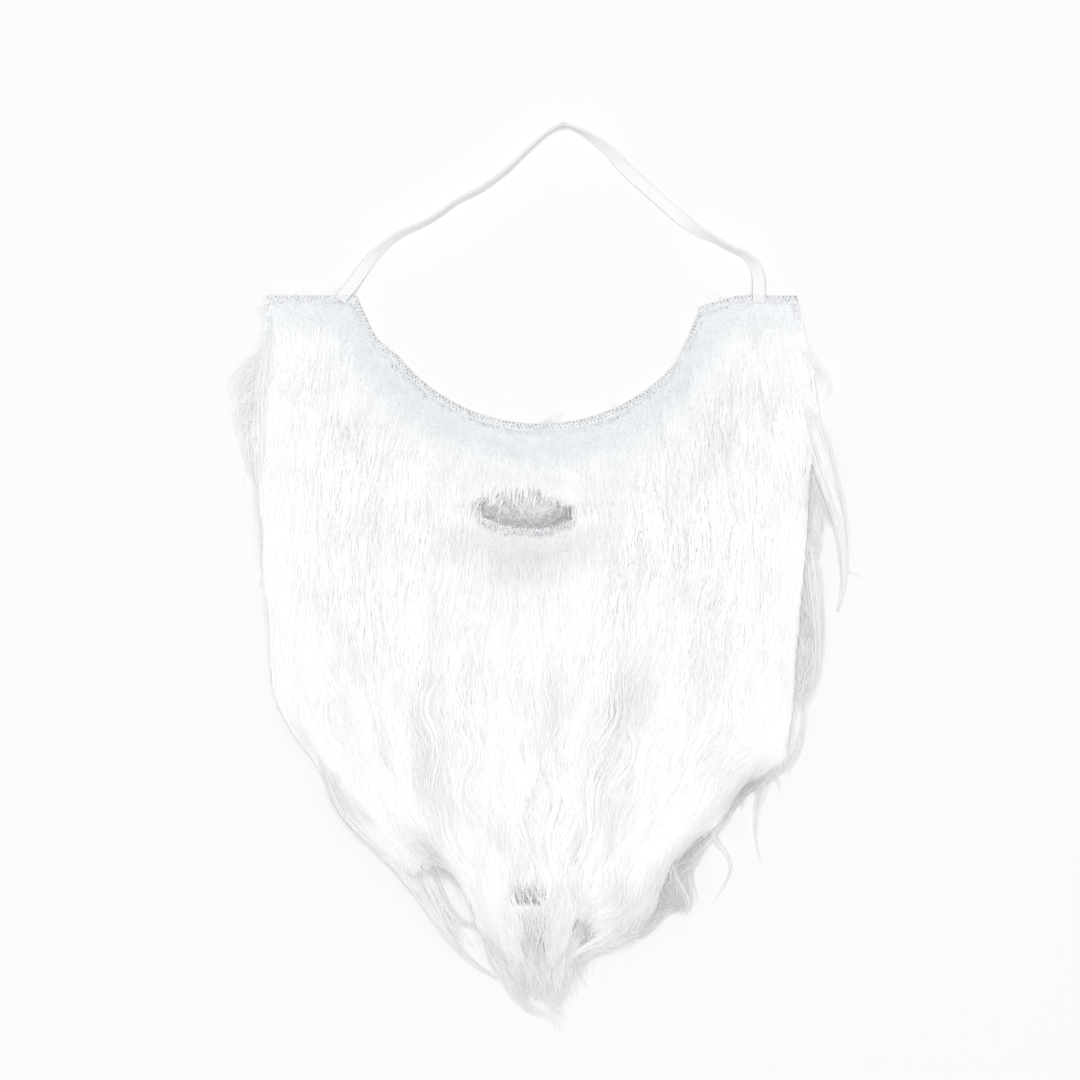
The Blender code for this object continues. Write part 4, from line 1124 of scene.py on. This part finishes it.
def stitchedStrip(name, line, width, dice, finish, closed=False):
    # A rounded strip of bound cloth beside the line, dimpled where the needle went in, with painted shade
    # in the dimples and on its sides
    run = np.concatenate([[0], np.cumsum(np.linalg.norm(np.diff(line, axis=0), axis=1))])
    columns = int(round(width / hem["cell"]))
    across = np.linspace(0, 1, columns + 1)
    lanes = [offsetLine(line, width * part, closed) for part in across]
    flat = np.stack(lanes, axis=1)
    inward = np.minimum(across, 1 - across) * width
    rounding = hem["rounding"] * np.clip(1 - inward / hem["rounding"], 0, 1) ** 2
    z = hem["top"] - rounding[None, :] + dice.normal(0, 0.05, flat.shape[:2])
    shade = np.full(flat.shape[:2], hem["tone"]) + dice.normal(0, 0.02, flat.shape[:2])
    u = np.broadcast_to(run[:, None], flat.shape[:2])
    v = np.broadcast_to((across * width)[None, :], flat.shape[:2])
    for number, lane in enumerate(hem["lanes"]):
        if lane > width - 0.5:
            continue
        holes = np.arange(0.5 + number * hem["stitchPitch"] / 2, run[-1], hem["stitchPitch"])
        holes = holes + dice.normal(0, hem["holeShift"], len(holes))
        places = lane + dice.normal(0, hem["holeShift"], len(holes))
        sizes = dice.uniform(*hem["holeSizes"], len(holes))
        for hole, place, size in zip(holes, places, sizes):
            near = np.abs(run - hole) < 2
            fall = np.exp(-((u[near] - hole) ** 2 + (v[near] - place) ** 2) / size ** 2)
            z[near] -= hem["holeDepth"] * fall
            shade[near] *= 1 - hem["holeShade"] * fall
    rows, cols = flat.shape[:2]
    top = np.concatenate([flat, z[..., None]], axis=2)
    low = np.concatenate([flat[:, [0, -1]], np.full((rows, 2, 1), hem["bottom"])], axis=2)
    points = np.concatenate([low[:, :1], top, low[:, 1:]], axis=1)
    cols += 2
    # Painted shade on the strip's sides
    shade = np.concatenate([shade[:, :1] * 0.8, shade, shade[:, -1:] * 0.8], axis=1)
    i = np.arange(rows if closed else rows - 1)[:, None]
    j = np.arange(cols)[None, :]
    after = (i + 1) % rows
    beside = (j + 1) % cols
    corners = np.stack([i * cols + j, after * cols + j, after * cols + beside, i * cols + beside], axis=2)
    corners = corners.reshape(-1, 4)
    sizes = np.full(len(corners), 4)
    colours = np.clip(shade.reshape(-1, 1) * [0.98, 0.99, 1.01], 0.03, 0.97)
    return makeMesh(name, points.reshape(-1, 3), sizes, corners.ravel(), finish, colours)


def zigzag(line, width, pitch, height, dice, closed=False):
    # Legs of thread that cross the strip from needle hole to needle hole
    run = np.concatenate([[0], np.cumsum(np.linalg.norm(np.diff(line, axis=0), axis=1))])
    outer = offsetLine(line, hem["threadInset"], closed)
    inner = offsetLine(line, width - 2 * hem["threadInset"], closed)
    legs = []
    steps = np.linspace(0, 1, 5)
    for number, here in enumerate(np.arange(0.6, run[-1] - pitch, pitch / 2)):
        ends = (outer, inner) if number % 2 else (inner, outer)
        there = here + pitch / 2 * dice.uniform(0.85, 1.15)
        a = np.array([np.interp(here, run, ends[0][:, k]) for k in (0, 1)])
        b = np.array([np.interp(there, run, ends[1][:, k]) for k in (0, 1)])
        flat = a + (b - a) * steps[:, None] + dice.normal(0, 0.08, (5, 2))
        z = height + 0.22 * np.sin(np.pi * steps) - 0.3 * (steps < 0.01) - 0.3 * (steps > 0.99)
        legs.append(np.concatenate([flat, z[:, None]], axis=1))
    return legs


def stitchedHems(dice, finish, threadFinish):
    line = evenSteps(topEdgeLine(), 660)
    piece = stitchedStrip("neckHem", line, hem["width"], dice, finish)
    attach(piece, "root")
    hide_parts("top_hem")
    lens = evenSteps(np.vstack([mouthLine(steps=48), mouthLine(steps=48)[:1]]), 270)[:-1]
    mouthPiece = stitchedStrip("slitHem", lens, hem["mouthWidth"], dice, finish, closed=True)
    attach(mouthPiece, "root")
    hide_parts("mouth_hem")
    legs = zigzag(line, hem["width"], hem["stitchPitch"], hem["top"] + 0.1, dice)
    legs += zigzag(lens, hem["mouthWidth"], hem["stitchPitch"], hem["top"] + 0.1, dice, closed=True)
    back = zigzag(line, hem["width"], hem["backPitch"], 0.0, dice)
    back += zigzag(lens, hem["mouthWidth"], hem["backPitch"], 0.0, dice, closed=True)
    stitches = tubes("hemStitches", legs, hem["threadRadius"], threadFinish, (0.92, 0.93, 0.94))
    backStitches = tubes("backStitches", back, hem["threadRadius"], threadFinish, (0.88, 0.88, 0.88))
    for thread in (stitches, backStitches):
        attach(thread, "root")
    print("hems stitched with", len(legs) + len(back), "threads")
    return piece, mouthPiece, stitches, backStitches


# Knitted cloth under the pile, in mm
backing = {"low": 0.15, "high": 1.5, "flat": (0.3062, 0.334)}


def clothSides():
    rows = [(146, 184), (147, 168), (152, 140), (153, 84), (151, 20), (143, -30), (124, -74), (88, -113),
            (44, -136), (-14, -141), (-64, -124), (-104, -88), (-134, -50), (-150, -18), (-153, 50),
            (-153, 130), (-153, 180)]
    return smoothThrough(rows, 5)


def backingCloth(finish):
    edge = evenSteps(np.vstack([topEdgeLine(), clothSides(), topEdgeLine()[:1]]), 340)[:-1]
    lens = evenSteps(np.vstack([mouthLine(steps=48), mouthLine(steps=48)[:1]]), 72)[:-1]
    curve = bpy.data.curves.new("knitBacking", "CURVE")
    curve.dimensions = "2D"
    curve.fill_mode = "BOTH"
    curve.extrude = (backing["high"] - backing["low"]) / 2 * mm
    for outline in (edge, lens):
        spline = curve.splines.new("POLY")
        spline.points.add(len(outline) - 1)
        for point, (x, y) in zip(spline.points, outline * mm):
            point.co = (x, y, 0, 1)
        spline.use_cyclic_u = True
    pattern = bpy.data.objects.new("backingPattern", curve)
    bpy.context.scene.collection.objects.link(pattern)
    bpy.context.view_layer.update()
    mesh = bpy.data.meshes.new_from_object(pattern)
    bpy.data.objects.remove(pattern)
    mesh.materials.clear()
    mesh.materials.append(finish)
    piece = bpy.data.objects.new("knitBacking", mesh)
    piece.location.z = (backing["high"] + backing["low"]) / 2 * mm
    bpy.context.scene.collection.objects.link(piece)
    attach(piece, "root")
    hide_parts("backing_cloth")


# Flat elastic, in mm: where it runs, how far it turns on edge and how high its lower side lies
elastic = {"width": 7.0, "thickness": 1.1, "ribs": 5, "ribDepth": 0.22, "step": 1.6}
elasticRoute = [
    (-112, 190, 0, 3.7), (-109.5, 194, 0, 3.7), (-106, 198, 4, 3.2), (-97, 210.5, 22, 0.6),
    (-88, 220, 50, 0), (-78.5, 227, 64, 0), (-64.5, 233.5, 72, 0), (-55.5, 239, 74, 0),
    (-46.5, 245.5, 74, 0), (-33, 252.5, 72, 0), (-19, 262.5, 74, 0), (-7.5, 273.5, 80, 0),
    (3.5, 283.5, 88, 0.5), (12.3, 288.3, 90, 1.2), (19.5, 286.5, 82, 0.5), (27, 282.5, 64, 0),
    (38, 274.5, 40, 0), (49.5, 262.5, 14, 0), (63, 250.5, 0, 0), (76.5, 238.5, 4, 0), (88, 229.5, 40, 0),
    (97.5, 224.5, 64, 0), (106.5, 219.5, 70, 0), (115, 215.5, 62, 0), (120.5, 209.5, 36, 0.4),
    (122.4, 202.5, 10, 2.2), (122.6, 194.5, 0, 3.7), (122.6, 188.5, 0, 3.7),
]


def elasticFrames():
    # Centres, directions across the width and out of the face, all along the elastic
    fine = smoothThrough(elasticRoute, 16)
    length = np.linalg.norm(np.diff(fine[:, :2], axis=0), axis=1).sum()
    rows = evenSteps(fine, int(length / elastic["step"]))
    way = np.gradient(rows[:, :2], axis=0)
    way /= np.linalg.norm(way, axis=1, keepdims=True)
    roll = np.radians(rows[:, 2:3])
    level = np.stack([-way[:, 1], way[:, 0], np.zeros(len(way))], axis=1)
    up = np.array([0, 0, 1.0])
    across = level * np.cos(roll) + up * np.sin(roll)
    normal = -level * np.sin(roll) + up * np.cos(roll)
    lift = 0.5 * (elastic["width"] * np.abs(np.sin(roll)) + 1.2 * np.abs(np.cos(roll)))
    centres = np.concatenate([rows[:, :2], rows[:, 3:4] + lift], axis=1)
    return centres, across, normal


def ribbedElastic(finish):
    centres, across, normal = elasticFrames()
    lanes = np.linspace(-1, 1, elastic["ribs"] * 4 + 1)
    waves = 0.5 + 0.5 * np.cos(np.pi * elastic["ribs"] * (lanes + 1) + np.pi)
    edge = np.clip((1 - np.abs(lanes)) / 0.1, 0, 1) ** 0.5
    half = elastic["thickness"] / 2 * (0.35 + 0.65 * edge) - elastic["ribDepth"] * (1 - waves)
    u = np.concatenate([lanes, lanes[::-1][1:-1]]) * elastic["width"] / 2
    v = np.concatenate([half, -half[::-1][1:-1]])
    shade = np.concatenate([waves, waves[::-1][1:-1]])
    points = centres[:, None] + across[:, None] * u[:, None] + normal[:, None] * v[:, None]
    rows, cols = points.shape[:2]
    i = np.arange(rows - 1)[:, None]
    j = np.arange(cols)[None, :]
    beside = (j + 1) % cols
    sides = np.stack([i * cols + j, (i + 1) * cols + j, (i + 1) * cols + beside, i * cols + beside], axis=2)
    caps = np.concatenate([np.arange(cols), (rows - 1) * cols + np.arange(cols)[::-1]])
    sizes = np.concatenate([np.full((rows - 1) * cols, 4), [cols, cols]])
    # Painted shade in the grooves between the ribs
    tone = (0.76 + 0.18 * shade)[None, :, None] * np.array([0.985, 0.99, 1.0])
    colours = np.broadcast_to(tone, points.shape).reshape(-1, 3)
    corners = np.concatenate([sides.ravel(), caps])
    piece = makeMesh("ribbedElastic", points.reshape(-1, 3), sizes, corners, finish, colours)
    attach(piece, "root")
    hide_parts("elastic_strap")
    print("elastic of", rows, "stations")


# Bar tacks that sew the elastic down and the whipping at the top of its arch, in mm
whipping = {"turns": 3, "pitch": 0.55, "radius": 0.3}
tacking = {"rows": 3, "rowPitch": 1.3, "stitches": 9, "stitchPitch": 0.75, "height": 5.0, "radius": 0.17}


def sewnThreads(dice, finish):
    centres, across, normal = elasticFrames()
    legs = []
    steps = np.linspace(0, 1, 5)
    for middle in ((-110.6, 192.0), (122.6, 191.6)):
        for row in range(tacking["rows"]):
            for number in range(tacking["stitches"]):
                side = 1 if number % 2 else -1
                x = middle[0] + tacking["stitchPitch"] * number
                y = middle[1] + tacking["rowPitch"] * (row - 1)
                a = np.array([x - 3.2, y - 0.5 * side])
                b = np.array([x - 2.5, y + 0.5 * side])
                flat = a + (b - a) * steps[:, None] + dice.normal(0, 0.06, (5, 2))
                z = tacking["height"] + 0.15 * np.sin(np.pi * steps)
                legs.append(np.concatenate([flat, z[:, None]], axis=1))
    tacks = tubes("barTacks", legs, tacking["radius"], finish, (0.86, 0.87, 0.88))
    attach(tacks, "root")
    crest = int(np.argmax(centres[:, 1]))
    centre, wide, out = centres[crest], across[crest], normal[crest]
    way = np.cross(wide, out)
    turns = np.linspace(0, 2 * np.pi * whipping["turns"], 24 * whipping["turns"])
    halfWide = elastic["width"] / 2 + 0.35
    halfThick = elastic["thickness"] / 2 + 0.4
    u = halfWide * np.sign(np.cos(turns)) * np.abs(np.cos(turns)) ** 0.5
    v = halfThick * np.sign(np.sin(turns)) * np.abs(np.sin(turns)) ** 0.5
    w = whipping["pitch"] * (turns / (2 * np.pi) - whipping["turns"] / 2)
    wound = centre + wide * u[:, None] + out * v[:, None] + way * w[:, None]
    piece = tubes("thinWhipping", [wound], whipping["radius"], finish, (0.80, 0.81, 0.83), sides=7)
    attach(piece, "root")
    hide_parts("strap_tie")
    print("threads sewn")


# Studio: the camera looks straight down on the beard as it lies
studio = {
    "cameraHeight": 2.4,
    "cameraPlace": (0.0, 0.056),
    "frameWidth": 0.6048,
    "focusHeight": 0.005,
    "keyPlace": (-0.08, 0.42, 5.2),
    "keySize": 2.8,
    "keyPower": 198.0,
    "skyStrength": 0.48,
    "floorTone": 0.848,
    "floorHalf": 3.0,
    "floorHeight": -0.0003,     # just under the cloth's back stitches
}


def setStudio():
    scene = bpy.context.scene
    scene.view_settings.view_transform = "Standard"
    scene.cycles.max_bounces = 16
    scene.cycles.diffuse_bounces = 12
    camera = bpy.data.objects.new("camera", bpy.data.cameras.new("camera"))
    scene.collection.objects.link(camera)
    camera.location = (*studio["cameraPlace"], studio["cameraHeight"])
    camera.data.lens = 36 * (studio["cameraHeight"] - studio["focusHeight"]) / studio["frameWidth"]
    scene.camera = camera
    world = bpy.data.worlds.new("studioSky")
    scene.world = world
    world.use_nodes = True
    sky = world.node_tree.nodes["Background"]
    sky.inputs["Color"].default_value = (0.99, 0.995, 1.0, 1)
    sky.inputs["Strength"].default_value = studio["skyStrength"]
    key = bpy.data.objects.new("keyLight", bpy.data.lights.new("keyLight", "AREA"))
    scene.collection.objects.link(key)
    key.data.size = studio["keySize"]
    key.data.energy = studio["keyPower"]
    key.location = studio["keyPlace"]
    key.rotation_euler = (Vector((0, 0, 0)) - key.location).to_track_quat("-Z", "Y").to_euler()
    tone = studio["floorTone"]
    finish, shader = newFinish("paperFloor", (tone, tone, tone * 0.985), 0.9)
    shader.inputs["Specular IOR Level"].default_value = 0.1
    mesh = bpy.data.meshes.new("floor")
    half = studio["floorHalf"]
    corners = [(-half, -half, 0), (half, -half, 0), (half, half, 0), (-half, half, 0)]
    mesh.from_pydata(corners, [], [(0, 1, 2, 3)])
    mesh.materials.append(finish)
    floor = bpy.data.objects.new("floor", mesh)
    floor.location.z = studio["floorHeight"]
    scene.collection.objects.link(floor)
    print("studio set")


setStudio()
dice = np.random.default_rng(beard["seed"])
whitePile = tintedFinish("whitePile", 0.6, 0.15, 0.15, mottleScale=90)
hemFinish = tintedFinish("stitchedHem", 0.8, 0.2, 0.2, mottleScale=900)
threadFinish = tintedFinish("whiteThread", 0.6, 0.3, 0.2, mottleScale=1500)
elasticFinish = tintedFinish("ribbedElastic", 0.55, 0.3, 0.2, mottleScale=1200)
hems = stitchedHems(dice, hemFinish, threadFinish)
backingCloth(knitFinish())
ribbedElastic(elasticFinish)
sewnThreads(dice, threadFinish)
denseUnderpile(dice, underpileFinish())
combedPile(dice, whitePile)
strayPile(dice, whitePile)
tailPile(dice, whitePile)
shadedFringe(dice, whitePile)
shadedPile(dice, whitePile)
shortFuzz(dice, whitePile)
